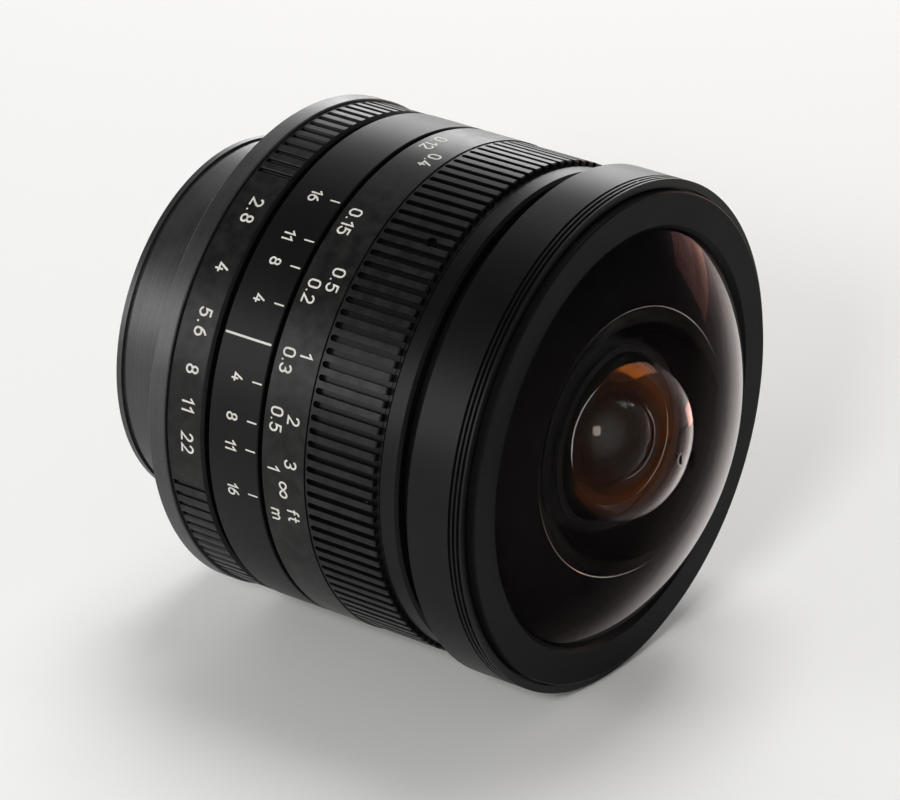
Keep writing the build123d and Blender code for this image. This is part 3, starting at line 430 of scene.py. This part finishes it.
# %% [markdown]
# ### Satin plated mount
# The mount takes the wear of every change of lens, so it is plated brass with a dark satin
# finish. It is a metal, with turned rings over it and the tone a little uneven. A chrome
# like mirror would be easier, but it would also be far too bright here.

# %% Make the mount finish
STREAK_RANGE, STREAK_MOST = (0.55, 0.75), 0.5
mount_metal, tree, shader = new_material("dark_satin_plate")
shader.inputs["Metallic"].default_value = 0.75
grain = add_grain(
    tree, shader, (0.050, 0.050, 0.052), (0.075, 0.075, 0.077), 0.34, 0.44, Grain_Scale=5000
)
lathe = use_group(tree, lathe_group, Rings_per_Metre=11000)
streaks = spread(tree, lathe["Mask"], *STREAK_RANGE, 0.0, STREAK_MOST)
plate_color = blend(tree, "RGBA", streaks, grain["Color"], grey(0.10))
tree.links.new(plate_color, shader.inputs["Base Color"])
add_bump(tree, shader, lathe["Height"], 0.002)
print("mount finish:", mount_metal.name)

# %% [markdown]
# ### Small parts: steel, brass, blades and plastic
# Screws and pins are plain steel, the drive arm is blackened, the helicoid is turned
# brass, the blades are thin steel with a dry black coat, and the plate behind the last
# glass is moulded black plastic. Each is one recipe of the same groups, so they belong
# together.

# %% Make the small finishes
def turned_metal(name, dark, light, low, high, rings, depth, metallic=1.0, gloss=0.5):
    material, tree, shader = new_material(name)
    shader.inputs["Metallic"].default_value = metallic
    shader.inputs["Specular IOR Level"].default_value = gloss
    add_grain(tree, shader, dark, light, low, high, Grain_Scale=4000)
    lathe = use_group(tree, lathe_group, Rings_per_Metre=rings)
    add_bump(tree, shader, lathe["Height"], depth)
    return material


steel = turned_metal(
    "satin_steel", (0.26, 0.26, 0.27), (0.38, 0.38, 0.39), 0.26, 0.38, rings=15000, depth=0.0015
)
brass = turned_metal(
    "turned_brass", (0.58, 0.40, 0.16), (0.78, 0.58, 0.27), 0.24, 0.36, rings=8000, depth=0.003
)
blade_black = turned_metal(
    "blade_black", (0.008, 0.008, 0.0085), (0.016, 0.016, 0.0165), 0.42, 0.52,
    rings=20000, depth=0.001, metallic=0.3, gloss=0.05,
)
black_steel = turned_metal(
    "blackened_steel", grey(0.010), grey(0.022), 0.34, 0.46, rings=15000, depth=0.0015, metallic=0.8
)
baffle_black = anodised(
    "moulded_black", grey(0.007), grey(0.012), 0.46, 0.56, dents=0.006, dusty=False
)
print("metals:", steel.name, brass.name, blade_black.name, black_steel.name)
print("plastic:", baffle_black.name)

# %% [markdown]
# ### Blackened inside walls
# Inside a lens every wall is cut into fine grooves and painted a dead black, so that stray
# light dies there. The same turned recipe with coarse rings and a high roughness does it.

# %% Make the inside finish
inside_black = turned_black(
    "inside_black", grey(0.0022), grey(0.004), 0.55, 0.68, rings=4000, depth=0.012, gloss=0.10
)
print("inside finish:", inside_black.name)

# %% [markdown]
# ## Glass
# Each element is clear glass under a stack of thin films, which makes it mirror almost
# nothing from straight ahead and only wakes up at a slant. The Principled shader has one
# such film, and its mirror grows too early: the front glass would look milky all over.
# So we build the coated face from two plain shaders, one that bends light and one that
# mirrors it. Layer Weight tells how slanted the surface stands, and a colour ramp says how
# much of the light is thrown back at each slant, and in which colour.
#
# A ray that is already inside the glass meets the face from behind. There the glass itself
# takes over, with its total mirror past the critical angle, so Backfacing picks the
# Principled shader.
#
# The inner glasses could be as clear as the front one, but their mirrors then add up to a
# grey haze. So they keep back a part of the light, and their edges mirror only a tenth.

# %% Ramps for coatings
FILM_WAKES = 57
FILM_CURVE = (
    (62, 0.012), (66, 0.02), (69, 0.042), (72, 0.095), (75, 0.22),
    (78, 0.34), (81, 0.52), (85, 0.75), (90, 1.0),
)


def slant(degrees):
    """What Layer Weight's Facing gives when the surface is seen at this angle."""
    return 1 - math.cos(math.radians(degrees))


def ramp_node(tree, curve):
    """A ramp over the slant, from a curve of (degrees, share or colour)."""
    node = fed_node(tree, "ShaderNodeValToRGB")
    ramp = node.color_ramp
    while len(ramp.elements) < len(curve):
        ramp.elements.new(0.5)
    for element, (degrees, value) in zip(ramp.elements, curve):
        element.position = slant(degrees)
        element.color = (*(value if isinstance(value, tuple) else grey(value)), 1)
    return node


def film_curve(straight, limb):
    """The share thrown back: a low one up to where the film wakes, then the rise times limb."""
    rise = [(degrees, max(share * limb, straight)) for degrees, share in FILM_CURVE]
    return [(0, straight), (FILM_WAKES, straight), *rise]


print("share at 75 degrees:", dict(film_curve(0.004, 1.0))[75])

# %% A face that bends and mirrors
def pick(tree, mask, first, second):
    """The first shader where the mask is 0, the second where it is 1."""
    return fed_node(tree, "ShaderNodeMixShader", mask, first, second).outputs[0]


def coated_face(tree, ior, share_curve, color_curve, clear=1.0):
    """Light passes with a bend or is thrown back, in shares and colours by the slant."""
    facing = fed_node(tree, "ShaderNodeLayerWeight", 0.5).outputs["Facing"]
    share, color = ramp_node(tree, share_curve), ramp_node(tree, color_curve)
    for ramp in (share, color):
        tree.links.new(facing, ramp.inputs["Fac"])
    through = fed_node(tree, "ShaderNodeBsdfRefraction", grey(clear), 0, ior)
    mirror = fed_node(tree, "ShaderNodeBsdfGlossy", color.outputs["Color"], 0)
    return pick(tree, share.outputs["Color"], through.outputs[0], mirror.outputs[0])


print("pick and coated_face are ready")

# %% Coat the glasses
FRONT_IOR, INNER_IOR = 1.52, 1.60
WARM = (1.0, 0.5, 0.25)
ROSE = (1.0, 0.5, 0.4)


def coated_glass(
    name, ior, straight, low_color, high_color, limb=1.0, edge_color=(1, 1, 1), clear=1.0
):
    material, tree, shader = new_material(name)
    shader.inputs["Transmission Weight"].default_value = 1
    shader.inputs["IOR"].default_value = ior
    shader.inputs["Roughness"].default_value = 0
    shader.inputs["Specular Tint"].default_value = (*grey(0.15), 1)
    dark = (0.975 * clear, 0.985 * clear, 0.98 * clear)
    speckled = use_group(tree, grain_group, Dark=dark, Light=grey(clear), Cloud_Scale=120)
    tree.links.new(speckled["Color"], shader.inputs["Base Color"])
    colors = [(0, low_color), (60, low_color), (76, high_color), (86, edge_color)]
    outside = coated_face(tree, ior, film_curve(straight, limb), colors, clear)
    behind = fed_node(tree, "ShaderNodeNewGeometry").outputs["Backfacing"]
    surface = pick(tree, behind, outside, shader.outputs[0])
    tree.links.new(surface, tree.nodes["Material Output"].inputs["Surface"])
    return material, tree, surface, behind


front_coat, front_tree, front_surface, front_behind = coated_glass(
    "front_glass_coated", FRONT_IOR, 0.003, (1.0, 0.8, 0.8), (1.0, 0.9, 0.88)
)
second_coat = coated_glass(
    "second_glass_coated", INNER_IOR, 0.003, (0.7, 1.0, 0.85), WARM, 0.09, WARM, clear=0.55
)[0]
rose_coat = coated_glass(
    "third_glass_rose", INNER_IOR, 0.006, (1.0, 0.22, 0.14), ROSE, 0.12, ROSE, clear=0.6
)[0]
green_coat = coated_glass(
    "rear_glass_green", INNER_IOR, 0.003, (0.4, 1.0, 0.6), (0.8, 1.0, 0.9), 0.1, clear=0.7
)[0]
print("glass:", [coat.name for coat in (front_coat, second_coat, rose_coat, green_coat)])

# %% [markdown]
# ### The amber film in the hollow
# The orange crescents inside the front glass come from its own back. The hollow is coated
# too, and from inside the glass this film throws back amber, more and more until the
# critical angle makes a perfect mirror. The same two shaders do it. The hollow is found by
# its distance from the centre of the outer curve, because both faces are one piece.

# %% Add the amber film
DOME_CENTRE, HOLLOW_LIMIT = 17.41, 36.2
AMBER_SHARE = (
    (0, 0.024), (4, 0.022), (9, 0.007), (17, 0.007), (22, 0.020), (26, 0.045),
    (29, 0.035), (33, 0.03), (36, 0.10), (38.5, 0.35), (40, 0.75), (41.2, 1.0),
)
AMBER_COLOR = (
    (0, (1, 0.95, 0.9)), (9, (1, 0.5, 0.3)), (16, (1, 0.18, 0.02)), (24, (1, 0.22, 0.02)),
    (29, (1, 0.3, 0.08)), (33, (1, 0.62, 0.55)), (38, (1, 0.9, 0.88)),
)
inside = coated_face(front_tree, FRONT_IOR, AMBER_SHARE, AMBER_COLOR)
centre = (0, -DOME_CENTRE * MM, 0)
from_centre = vector_step(front_tree, "DISTANCE", object_place(front_tree), centre)["Value"]
in_hollow = calculate(front_tree, "LESS_THAN", from_centre, HOLLOW_LIMIT * MM)
amber_here = calculate(front_tree, "MULTIPLY", in_hollow, front_behind)
whole = pick(front_tree, amber_here, front_surface, inside)
front_tree.links.new(whole, front_tree.nodes["Material Output"].inputs["Surface"])
print("amber film:", len(front_tree.nodes), "nodes in", front_coat.name)

# %% [markdown]
# ## Give every piece of the drawing its finish
# The drawing's pieces keep their shape and place. Only the material in their slot changes.
# A table from piece to finish is easier to check than a rule, because a lens maker's parts
# list reads the same way.

# %% Assign the finishes
finish_of = {
    "bayonet_mount": mount_metal,
    "rear_baffle": baffle_black,
    "index_ring": index_black,
    "main_barrel": smooth_black,
    "aperture_ring": knurl_black,
    "focus_ring": grip_black,
    "front_shell": smooth_black,
    "front_ring": face_black,
    "focus_retainer": steel,
    "guide_keys": steel,
    "focus_stop_pin": steel,
    "aperture_drive_arm": black_steel,
    "mount_screws": steel,
    "focus_grub_screws": black_steel,
    "helicoid": brass,
    "front_meniscus": front_coat,
    "second_meniscus": second_coat,
    "third_meniscus": rose_coat,
    "front_doublet_crown": rose_coat,
    "front_doublet_flint": rose_coat,
    "rear_singlet": green_coat,
    "middle_doublet_crown": green_coat,
    "middle_doublet_flint": green_coat,
    "rear_doublet_crown": green_coat,
    "rear_doublet_flint": green_coat,
    "last_element": green_coat,
}
for name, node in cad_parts.items():
    usual = blade_black if name.startswith("iris_blade") else inside_black
    node.data.materials.clear()
    node.data.materials.append(finish_of.get(name, usual))
print(len(finish_of), "pieces by name, the rest are blades and inside walls")

# %% [markdown]
# ## The blacking of the front glass
# The back of the front glass is ground flat round a deep hollow, and the maker paints
# the flat and the edge black. The paint touches the glass, so no mirror shows there, only
# depth. A black ring set behind the glass would leave a film of air, and that air would
# mirror the whole room. So the paint here is a thin ring a hair inside the glass.

# %% Helpers that turn a closed section about the axis
TURN_STEPS = 180


def on_ring(radius, angle, station):
    """A place from its radius and station in mm and its angle about the axis in radians."""
    return Vector((-radius * math.sin(angle), -station, radius * math.cos(angle))) * MM


def into_scene(name, mesh, finish):
    """Make the mesh an object of the scene, with all its faces looking outwards."""
    bmesh.ops.recalc_face_normals(mesh, faces=mesh.faces)
    data = bpy.data.meshes.new(name)
    mesh.to_mesh(data)
    mesh.free()
    data.materials.append(finish)
    piece = bpy.data.objects.new(name, data)
    scene.collection.objects.link(piece)
    return piece


def turn_section(name, section, finish):
    """Turn a closed loop of (station, radius) corners in mm about the optical axis."""
    mesh = bmesh.new()
    rings = []
    for step in range(TURN_STEPS):
        angle = 2 * math.pi * step / TURN_STEPS
        rings.append([mesh.verts.new(on_ring(radius, angle, at)) for at, radius in section])
    for here, after in zip(rings, rings[1:] + rings[:1]):
        for corner in range(len(section)):
            beyond = (corner + 1) % len(section)
            mesh.faces.new((here[corner], after[corner], after[beyond], here[beyond]))
    return into_scene(name, mesh, finish)


print("a section is turned in", TURN_STEPS, "steps")

# %% Make the blacking
SEAT, DOME_RADIUS, HOLLOW_RADIUS, DOME_EDGE = 41.0, 25.2, 13.4, 2.8
SKIN, MARGIN = 0.03, 0.004
edge_black, tree, shader = new_material("edge_blacking")
shader.inputs["Specular IOR Level"].default_value = 0.05
add_grain(
    tree, shader, (0.0008, 0.0007, 0.0007), (0.0016, 0.0013, 0.0012), 0.6, 0.8, Cloud_Scale=500
)
section = (
    (SEAT + MARGIN, HOLLOW_RADIUS + SKIN),
    (SEAT + MARGIN, DOME_RADIUS - MARGIN),
    (SEAT + DOME_EDGE - SKIN, DOME_RADIUS - MARGIN),
    (SEAT + DOME_EDGE - SKIN, DOME_RADIUS - SKIN),
    (SEAT + SKIN, DOME_RADIUS - SKIN),
    (SEAT + SKIN, HOLLOW_RADIUS + SKIN),
)
blacking = turn_section("dome_blacking", section, edge_black)
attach(blacking, "optical_unit")
print("blacking ring:", len(blacking.data.polygons), "faces")

# %% [markdown]
# ## Screw heads
# Four countersunk screws with a cross recess hold the mount, and three grub screws with a
# hexagon socket fix the focus ring. The drawing has plain pins there. We could bump a
# cross onto them, but light does not fall into a bump. So each screw is a stack of rings
# of points: shank, head, the outline of the recess, and its floor. All rings have the
# same number of points, so faces join one to the next with no seam.

# %% Outlines of the two recesses
POINTS = 96
TINY = 1e-9


def cross_outline(angle, arm, half):
    across, along = abs(math.cos(angle)) + TINY, abs(math.sin(angle)) + TINY
    return max(min(arm / across, half / along), min(arm / along, half / across))


def hexagon_outline(angle, flat):
    sector = math.radians(60)
    return flat / math.cos(angle % sector - sector / 2)


def round_ring(radius, height):
    return [radius] * POINTS, height


def shaped_ring(outline, height, *sizes):
    return [outline(2 * math.pi * n / POINTS, *sizes) for n in range(POINTS)], height


print("cross 45 degrees in:", round(cross_outline(math.radians(45), 0.9, 0.2), 3), "mm")

# %% A helper that stacks the rings
def screw_piece(name, rings, places, finish, body):
    """Stack rings of points (radii, height) in mm at each (origin, out, side)."""
    mesh = bmesh.new()
    for origin, out, side in places:
        other = out.cross(side)
        loops = []
        for radii, height in rings:
            loop = []
            for n, radius in enumerate(radii):
                angle = 2 * math.pi * n / POINTS
                ray = side * math.cos(angle) + other * math.sin(angle)
                loop.append(mesh.verts.new((origin + out * height + ray * radius) * MM))
            loops.append(loop)
        for lower, upper in zip(loops, loops[1:]):
            for n in range(POINTS):
                beyond = (n + 1) % POINTS
                mesh.faces.new((lower[n], lower[beyond], upper[beyond], upper[n]))
        mesh.faces.new(list(reversed(loops[0])))
        mesh.faces.new(loops[-1])
    piece = into_scene(name, mesh, finish)
    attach(piece, body)
    return piece


print("each ring of a screw has", POINTS, "points")

# %% Make the mount screws
SCREW_CIRCLE, FIRST_SCREW = 25.7, 15
FIRST_TILT, TILT_STEP = 20, 37
mount_places = []
for n in range(4):
    angle = math.radians(FIRST_SCREW + 90 * n)
    origin = Vector((SCREW_CIRCLE * math.sin(angle), 0, SCREW_CIRCLE * math.cos(angle)))
    tilt = math.radians(FIRST_TILT + TILT_STEP * n)
    mount_places.append((origin, Vector((0, 1, 0)), Vector((math.cos(tilt), 0, math.sin(tilt)))))
mount_rings = [
    round_ring(0.6, -3.4),
    round_ring(0.75, -3.25),
    round_ring(0.75, -0.8),
    round_ring(1.5, -0.05),
    round_ring(1.45, 0.0),
    shaped_ring(cross_outline, 0.0, 0.95, 0.2),
    shaped_ring(cross_outline, -0.12, 0.86, 0.16),
    shaped_ring(cross_outline, -0.7, 0.4, 0.13),
]
mount_screws = screw_piece(
    "cross_screws", mount_rings, mount_places, steel, "root"
)
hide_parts("mount_screws")
print("mount screws:", len(mount_screws.data.polygons), "faces")

# %% Make the grub screws
GRUB_STATION, GRUB_ANGLE, GRUB_TOP = 28.6, 29.6, 28.05
grub_places = []
for n in range(3):
    angle = math.radians(GRUB_ANGLE + 120 * n)
    out = Vector((-math.sin(angle), 0, math.cos(angle)))
    grub_places.append((out * GRUB_TOP + Vector((0, -GRUB_STATION, 0)), out, Vector((0, -1, 0))))
grub_rings = [
    round_ring(0.45, -1.08),
    round_ring(0.65, -0.95),
    round_ring(0.65, -0.08),
    round_ring(0.57, 0.0),
    shaped_ring(hexagon_outline, 0.0, 0.36),
    shaped_ring(hexagon_outline, -0.6, 0.34),
]
grub_screws = screw_piece(
    "hexagon_screws", grub_rings, grub_places, black_steel, "focus_ring"
)
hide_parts("focus_grub_screws")
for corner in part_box("focus_grub_screws"):
    print("grub screws in the drawing reach", [round(x / MM, 2) for x in corner], "mm")

# %% [markdown]
# ## Engraved numbers
# A lens maker engraves the scales with a round cutter that follows one line for each
# stroke, and fills the groove with paint. A font would give flat outlines with square
# ends, so we draw as the engraver does: each figure is a few strokes on a grid one unit
# high, and each stroke becomes a narrow strip with round ends. The strip is then laid
# round the ring, so it follows the curve.

# %% Strokes of the figures
def arc(cx, cy, rx, ry, start, end, steps=12):
    angles = [math.radians(start + (end - start) * n / steps) for n in range(steps + 1)]
    return [(cx + rx * math.cos(a), cy + ry * math.sin(a)) for a in angles]


def lying_eight(middle, half_width, height):
    """One closed stroke that crosses itself in the middle."""
    points = []
    for degrees in range(0, 361, 10):
        sine, cosine = math.sin(math.radians(degrees)), math.cos(math.radians(degrees))
        narrowing = 1 + sine**2
        x = half_width + half_width * cosine / narrowing
        points.append((x, middle + height * sine * cosine / narrowing))
    return points


nought = arc(0.28, 0.71, 0.28, 0.29, 180, 0) + arc(0.28, 0.29, 0.28, 0.29, 0, -180)
three = arc(0.27, 0.75, 0.26, 0.25, 155, -90) + arc(0.27, 0.26, 0.29, 0.26, 85, -155)
six_bowl = arc(0.28, 0.3, 0.28, 0.3, 180, -180, 22)
eight_top = arc(0.28, 0.755, 0.23, 0.245, 90, 450, 22)
eight_bowl = arc(0.28, 0.26, 0.28, 0.26, 90, 450, 22)
m_arches = [arc(x, 0.4, 0.225, 0.24, 180, 0) + [(x + 0.225, 0.0)] for x in (0.225, 0.675)]
f_hook = [(0.14, 0.0)] + arc(0.36, 0.78, 0.22, 0.22, 180, 90)
t_hook = [(0.14, 0.95)] + arc(0.36, 0.22, 0.22, 0.22, 180, 270)
figures = {
    "0": (0.56, [nought + [(0.0, 0.71)]]),
    "1": (0.26, [[(0.0, 0.74), (0.26, 1.0), (0.26, 0.0)]]),
    "2": (0.56, [arc(0.28, 0.72, 0.27, 0.28, 165, -38) + [(0.01, 0.0), (0.56, 0.0)]]),
    "3": (0.56, [three]),
    "4": (0.6, [[(0.36, 1.0), (0.0, 0.26), (0.6, 0.26)], [(0.42, 0.55), (0.42, 0.0)]]),
    "5": (0.56, [[(0.5, 1.0), (0.1, 1.0), (0.05, 0.55)] + arc(0.27, 0.32, 0.29, 0.32, 122, -150)]),
    "6": (0.56, [six_bowl, [(0.0, 0.3), (0.04, 0.55), (0.16, 0.8), (0.4, 1.0)]]),
    "8": (0.56, [eight_top, eight_bowl]),
    ".": (0.1, [[(0.05, 0.05), (0.05, 0.051)]]),
    "m": (0.9, [[(0.0, 0.0), (0.0, 0.64)], *m_arches]),
    "f": (0.4, [f_hook, [(0.0, 0.62), (0.34, 0.62)]]),
    "t": (0.4, [t_hook, [(0.0, 0.64), (0.34, 0.64)]]),
    "infinity": (1.3, [lying_eight(0.42, 0.65, 0.85)]),
}
print(len(figures), "figures")

# %% Give a stroke its width and its round ends
END_POINTS = 7


def strip_sides(points, half):
    """The left and the right side of a stroke, half a width away from its points."""
    left, right = [], []
    for n, (x, y) in enumerate(points):
        ax, ay = points[max(n - 1, 0)]
        bx, by = points[min(n + 1, len(points) - 1)]
        first = Vector((x - ax, y - ay)) if n else Vector((bx - x, by - y))
        second = Vector((bx - x, by - y)) if n < len(points) - 1 else first
        first, second = first.normalized(), second.normalized()
        middle = (first + second).normalized()
        reach = half / max(0.5, middle.dot(first))
        left.append((x - middle.y * reach, y + middle.x * reach))
        right.append((x + middle.y * reach, y - middle.x * reach))
    return left, right


def round_end(end, before, half):
    """Points of the half circle round the end of a stroke, from its left to its right."""
    ahead = math.atan2(end[1] - before[1], end[0] - before[0])
    turns = [math.pi * n / (END_POINTS + 1) for n in range(1, END_POINTS + 1)]
    angles = [ahead + math.pi / 2 - turn for turn in turns]
    return [(end[0] + half * math.cos(a), end[1] + half * math.sin(a)) for a in angles]


print("a round end has", len(round_end((1, 0), (0, 0), 0.1)), "points")

# %% Lay strokes round a ring
PROUD, SUNK = 0.015, 0.06


def add_stroke(mesh, points, half, to_place):
    """Add one stroke as a closed strip that stands proud of the ring and is sunk into it."""
    left, right = strip_sides(points, half)
    far_end = round_end(points[-1], points[-2], half)
    near_end = round_end(points[0], points[1], half)
    outline = left + far_end + right[::-1] + near_end
    top = [mesh.verts.new(to_place(u, v, PROUD)) for u, v in outline]
    base = [mesh.verts.new(to_place(u, v, -SUNK)) for u, v in outline]
    count, span = len(points), len(outline)
    across = [2 * count + END_POINTS - 1 - n for n in range(count)]
    for side, order in ((top, 1), (base, -1)):
        for n in range(count - 1):
            quad = [side[n], side[n + 1], side[across[n + 1]], side[across[n]]]
            mesh.faces.new(quad[::order])
        mesh.faces.new(side[count - 1 : across[-1] + 1][::order])
        mesh.faces.new((side[across[0] :] + side[:1])[::order])
    for n in range(span):
        beyond = (n + 1) % span
        mesh.faces.new((top[n], base[n], base[beyond], top[beyond]))


def marks_piece(name, marks, radius, body):
    """One mesh of strokes on a ring: each mark is (station, angle, strokes, half width)."""
    mesh = bmesh.new()
    for station, degrees, strokes, half in marks:
        start = math.radians(degrees)

        def to_place(u, v, height, station=station, start=start):
            return on_ring(radius + height, start + u / radius, station + v)

        for points in strokes:
            add_stroke(mesh, points, half, to_place)
    piece = into_scene(name, mesh, mark_paint)
    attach(piece, body)
    return piece


print("the paint stands", PROUD, "mm proud")

# %% [markdown]
# ### The paint in the grooves
# The filling is an off-white enamel, wiped flush. It is a little thin in places, so the
# tone wanders from cream to grey, and it is less glossy than the metal round it. The
# drawing's list has no finish for paint.

# %% Make the mark paint
mark_paint, tree, shader = new_material("engraving_enamel")
cream_grey, cream = (0.46, 0.44, 0.40), (0.70, 0.68, 0.63)
grain = add_grain(
    tree, shader, cream_grey, cream, 0.45, 0.6, Grain_Scale=7000, Cloud_Scale=900
)
add_bump(tree, shader, grain["Height"], 0.004)
print("paint:", mark_paint.name)

# %% Spell a number as strokes
def spell(text, height, gap):
    """The strokes of a number in mm, centred on its own middle in both directions."""
    names = ["infinity"] if text == "infinity" else list(text)
    widths = [figures[n][0] * height for n in names]
    total = sum(widths) + gap * (len(names) - 1)
    strokes, at = [], -total / 2
    for name, width in zip(names, widths):
        for stroke in figures[name][1]:
            strokes.append([(at + x * height, (y - 0.5) * height) for x, y in stroke])
        at += width + gap
    return strokes


def number_marks(rows, height, gap, half):
    return [(station, angle, spell(text, height, gap), half) for text, station, angle in rows]


def tick(station, angle, length, half):
    return station, angle, [[(0, 0), (0, length)]], half


print("width of 0.15:", round(max(x for s in spell("0.15", 1.5, 0.45) for x, y in s) * 2, 2), "mm")

# %% [markdown]
# ### The scales
# The f-numbers ride on the aperture ring and the distances on the focus ring, in metres
# and in feet. The fixed ring between them has one index line. On both sides of it a
# depth-of-field scale shows how far the sharp zone reaches at f/4 to f/16. Its places are
# worked out: the focus moves 0.384 mm for each radian of the ring, and a blur circle of
# 0.015 mm is still sharp, so the zone reaches 0.015 times the f-number over 0.384 radians.

# %% Engrave the aperture ring
APERTURE_RADIUS, SCALE_RADIUS = 29.1, 29.16
F_STATION = 5.4
f_numbers = [("2.8", 35.0), ("4", 49.7), ("5.6", 62.4), ("8", 73.2), ("11", 81.4), ("22", 90.6)]
rows = [(text, F_STATION, angle) for text, angle in f_numbers]
f_marks = number_marks(rows, height=1.55, gap=0.62, half=0.122)
aperture_numbers = marks_piece("aperture_numbers", f_marks, APERTURE_RADIUS, "aperture_ring")
print("f-numbers:", len(f_marks), "in", len(aperture_numbers.data.polygons), "faces")

# %% Engrave the distance scales
METRE_STATION, FEET_STATION, INFINITY_STATION = 17.8, 20.15, 19.15
metres = [("0.12", -1.6), ("0.15", 30.7), ("0.2", 48.8), ("0.3", 64.7), ("0.5", 78.0)]
metres += [("1", 89.3), ("m", 101.4)]
feet = [("0.4", 6.2), ("0.5", 44.9), ("1", 62.5), ("2", 77.2), ("3", 87.4), ("ft", 100.4)]
rows = [(text, METRE_STATION, angle) for text, angle in metres]
rows += [(text, FEET_STATION, angle) for text, angle in feet]
rows.append(("infinity", INFINITY_STATION, 94.2))
distance_marks = number_marks(rows, height=1.5, gap=0.42, half=0.112)
distance_numbers = marks_piece("distance_numbers", distance_marks, SCALE_RADIUS, "focus_ring")
print("distances:", len(rows), "in", len(distance_numbers.data.polygons), "faces")

# %% Engrave the fixed ring
INDEX_ANGLE, BLUR, TRAVEL = 62.7, 0.015, 0.384
INDEX_STATION, NUMBER_STATION, TICK_STATION = 8.9, 11.7, 13.9
fixed_marks = [tick(INDEX_STATION, INDEX_ANGLE, length=6.2, half=0.13)]
for f_number in (4, 8, 11, 16):
    reach = math.degrees(BLUR * f_number / TRAVEL)
    number = spell(str(f_number), height=1.35, gap=0.36)
    for angle in (INDEX_ANGLE - reach, INDEX_ANGLE + reach):
        fixed_marks.append(tick(TICK_STATION, angle, length=1.2, half=0.09))
        fixed_marks.append((NUMBER_STATION, angle, number, 0.108))
    print("f /", f_number, "reaches", round(reach, 1), "degrees to each side")
fixed_ring_marks = marks_piece("fixed_ring_marks", fixed_marks, SCALE_RADIUS, "root")
print("fixed ring:", len(fixed_ring_marks.data.polygons), "faces")

# %% [markdown]
# ## The table and the room
# The lens lies on a smooth white table that runs out of sight. A plane that ends in view
# would draw a horizon, so the table is large. It carries the shadow, and its own faint
# unevenness keeps the white from looking empty.

# %% Make the table
TABLE_SIZE, TABLE_CELLS = 8, 8
TABLE_LEVEL = -30
bpy.ops.mesh.primitive_grid_add(
    x_subdivisions=TABLE_CELLS,
    y_subdivisions=TABLE_CELLS,
    size=TABLE_SIZE,
    location=(0, 0, TABLE_LEVEL * MM),
)
table = bpy.context.object
table.name = "table"
table_white, tree, shader = new_material("table_white")
unevenness = noise(tree, None, scale=3, detail=2)
white = blend(tree, "RGBA", unevenness, (0.86, 0.86, 0.845), (0.90, 0.90, 0.89))
tree.links.new(white, shader.inputs["Base Color"])
shader.inputs["Roughness"].default_value = 0.7
shader.inputs["Specular IOR Level"].default_value = 0.15
table.data.materials.append(table_white)
print("table at", round(table.location.z / MM, 1), "mm")

# %% [markdown]
# ### The light
# Black metal shows the room more than it shows itself. In this picture the room is white
# low down and dark overhead, which gives the barrel its dark crown. We could light it with
# one big dome, but then the crown would turn grey. So the world is bright near the horizon
# and dim above, and soft panels do the rest: one behind, one on the left, a key from
# above, a small warm one far on the right, and a small lamp near the camera. The camera
# itself, also where it looks through the glass, sees plain white instead of the world.

# %% Make the world
GROUND, ZENITH = 0.8, 0.10
HORIZON_UP = ((0.50, 0.9), (0.62, 0.55), (0.78, 0.16))
world = bpy.data.worlds.new("room")
scene.world = world
world.use_nodes = True
tree = world.node_tree
direction = fed_node(tree, "ShaderNodeTexCoord").outputs["Generated"]
height = fed_node(tree, "ShaderNodeSeparateXYZ", direction).outputs["Z"]
sky = fed_node(tree, "ShaderNodeValToRGB", spread(tree, height, -1.0, 1.0, 0.0, 1.0))
stops = sky.color_ramp.elements
stops[0].color = (*grey(GROUND), 1)
stops[1].color = (*grey(ZENITH), 1)
for position, level in HORIZON_UP:
    stops.new(position).color = (*grey(level), 1)
rays = fed_node(tree, "ShaderNodeLightPath").outputs
straight = calculate(tree, "MAXIMUM", rays["Is Camera Ray"], rays["Is Transmission Ray"])
seen = blend(tree, "RGBA", straight, sky.outputs["Color"], (0.93, 0.93, 0.925))
tree.links.new(seen, tree.nodes["Background"].inputs["Color"])
print("world stops:", [round(stop.position, 2) for stop in stops])

# %% Hang the soft panels
def soft_panel(
    name, direction, distance, width, height, radiance, color=(1, 1, 1), shape="RECTANGLE"
):
    """A panel that faces the lens. Its power follows from its size and how bright it looks."""
    data = bpy.data.lights.new(name, "AREA")
    data.shape, data.size, data.size_y = shape, width, height
    data.color = color
    data.energy = radiance * math.pi * width * height
    lamp = bpy.data.objects.new(name, data)
    towards = Vector(direction).normalized()
    lamp.location = towards * distance
    lamp.rotation_euler = towards.to_track_quat("Z", "Y").to_euler()
    scene.collection.objects.link(lamp)
    print(name, "gives", round(data.energy, 2), "watts")


soft_panel("panel behind", (0.80, 0.53, 0.26), 0.8, width=0.55, height=0.35, radiance=4.4)
soft_panel("panel left", (-0.80, 0.53, 0.29), 0.7, width=0.30, height=0.30, radiance=4.3)
soft_panel("key panel", (0.36, 0.12, 0.93), 1.2, width=0.64, height=0.64, radiance=5.3)
soft_panel(
    "warm panel", (0.98, -0.17, 0.06), 0.45, width=0.24, height=0.12, radiance=1.9,
    color=(1.0, 0.48, 0.38),
)
soft_panel(
    "small lamp", (-0.80, -0.33, 0.49), 0.6, width=0.115, height=0.115, radiance=36,
    shape="DISK",
)
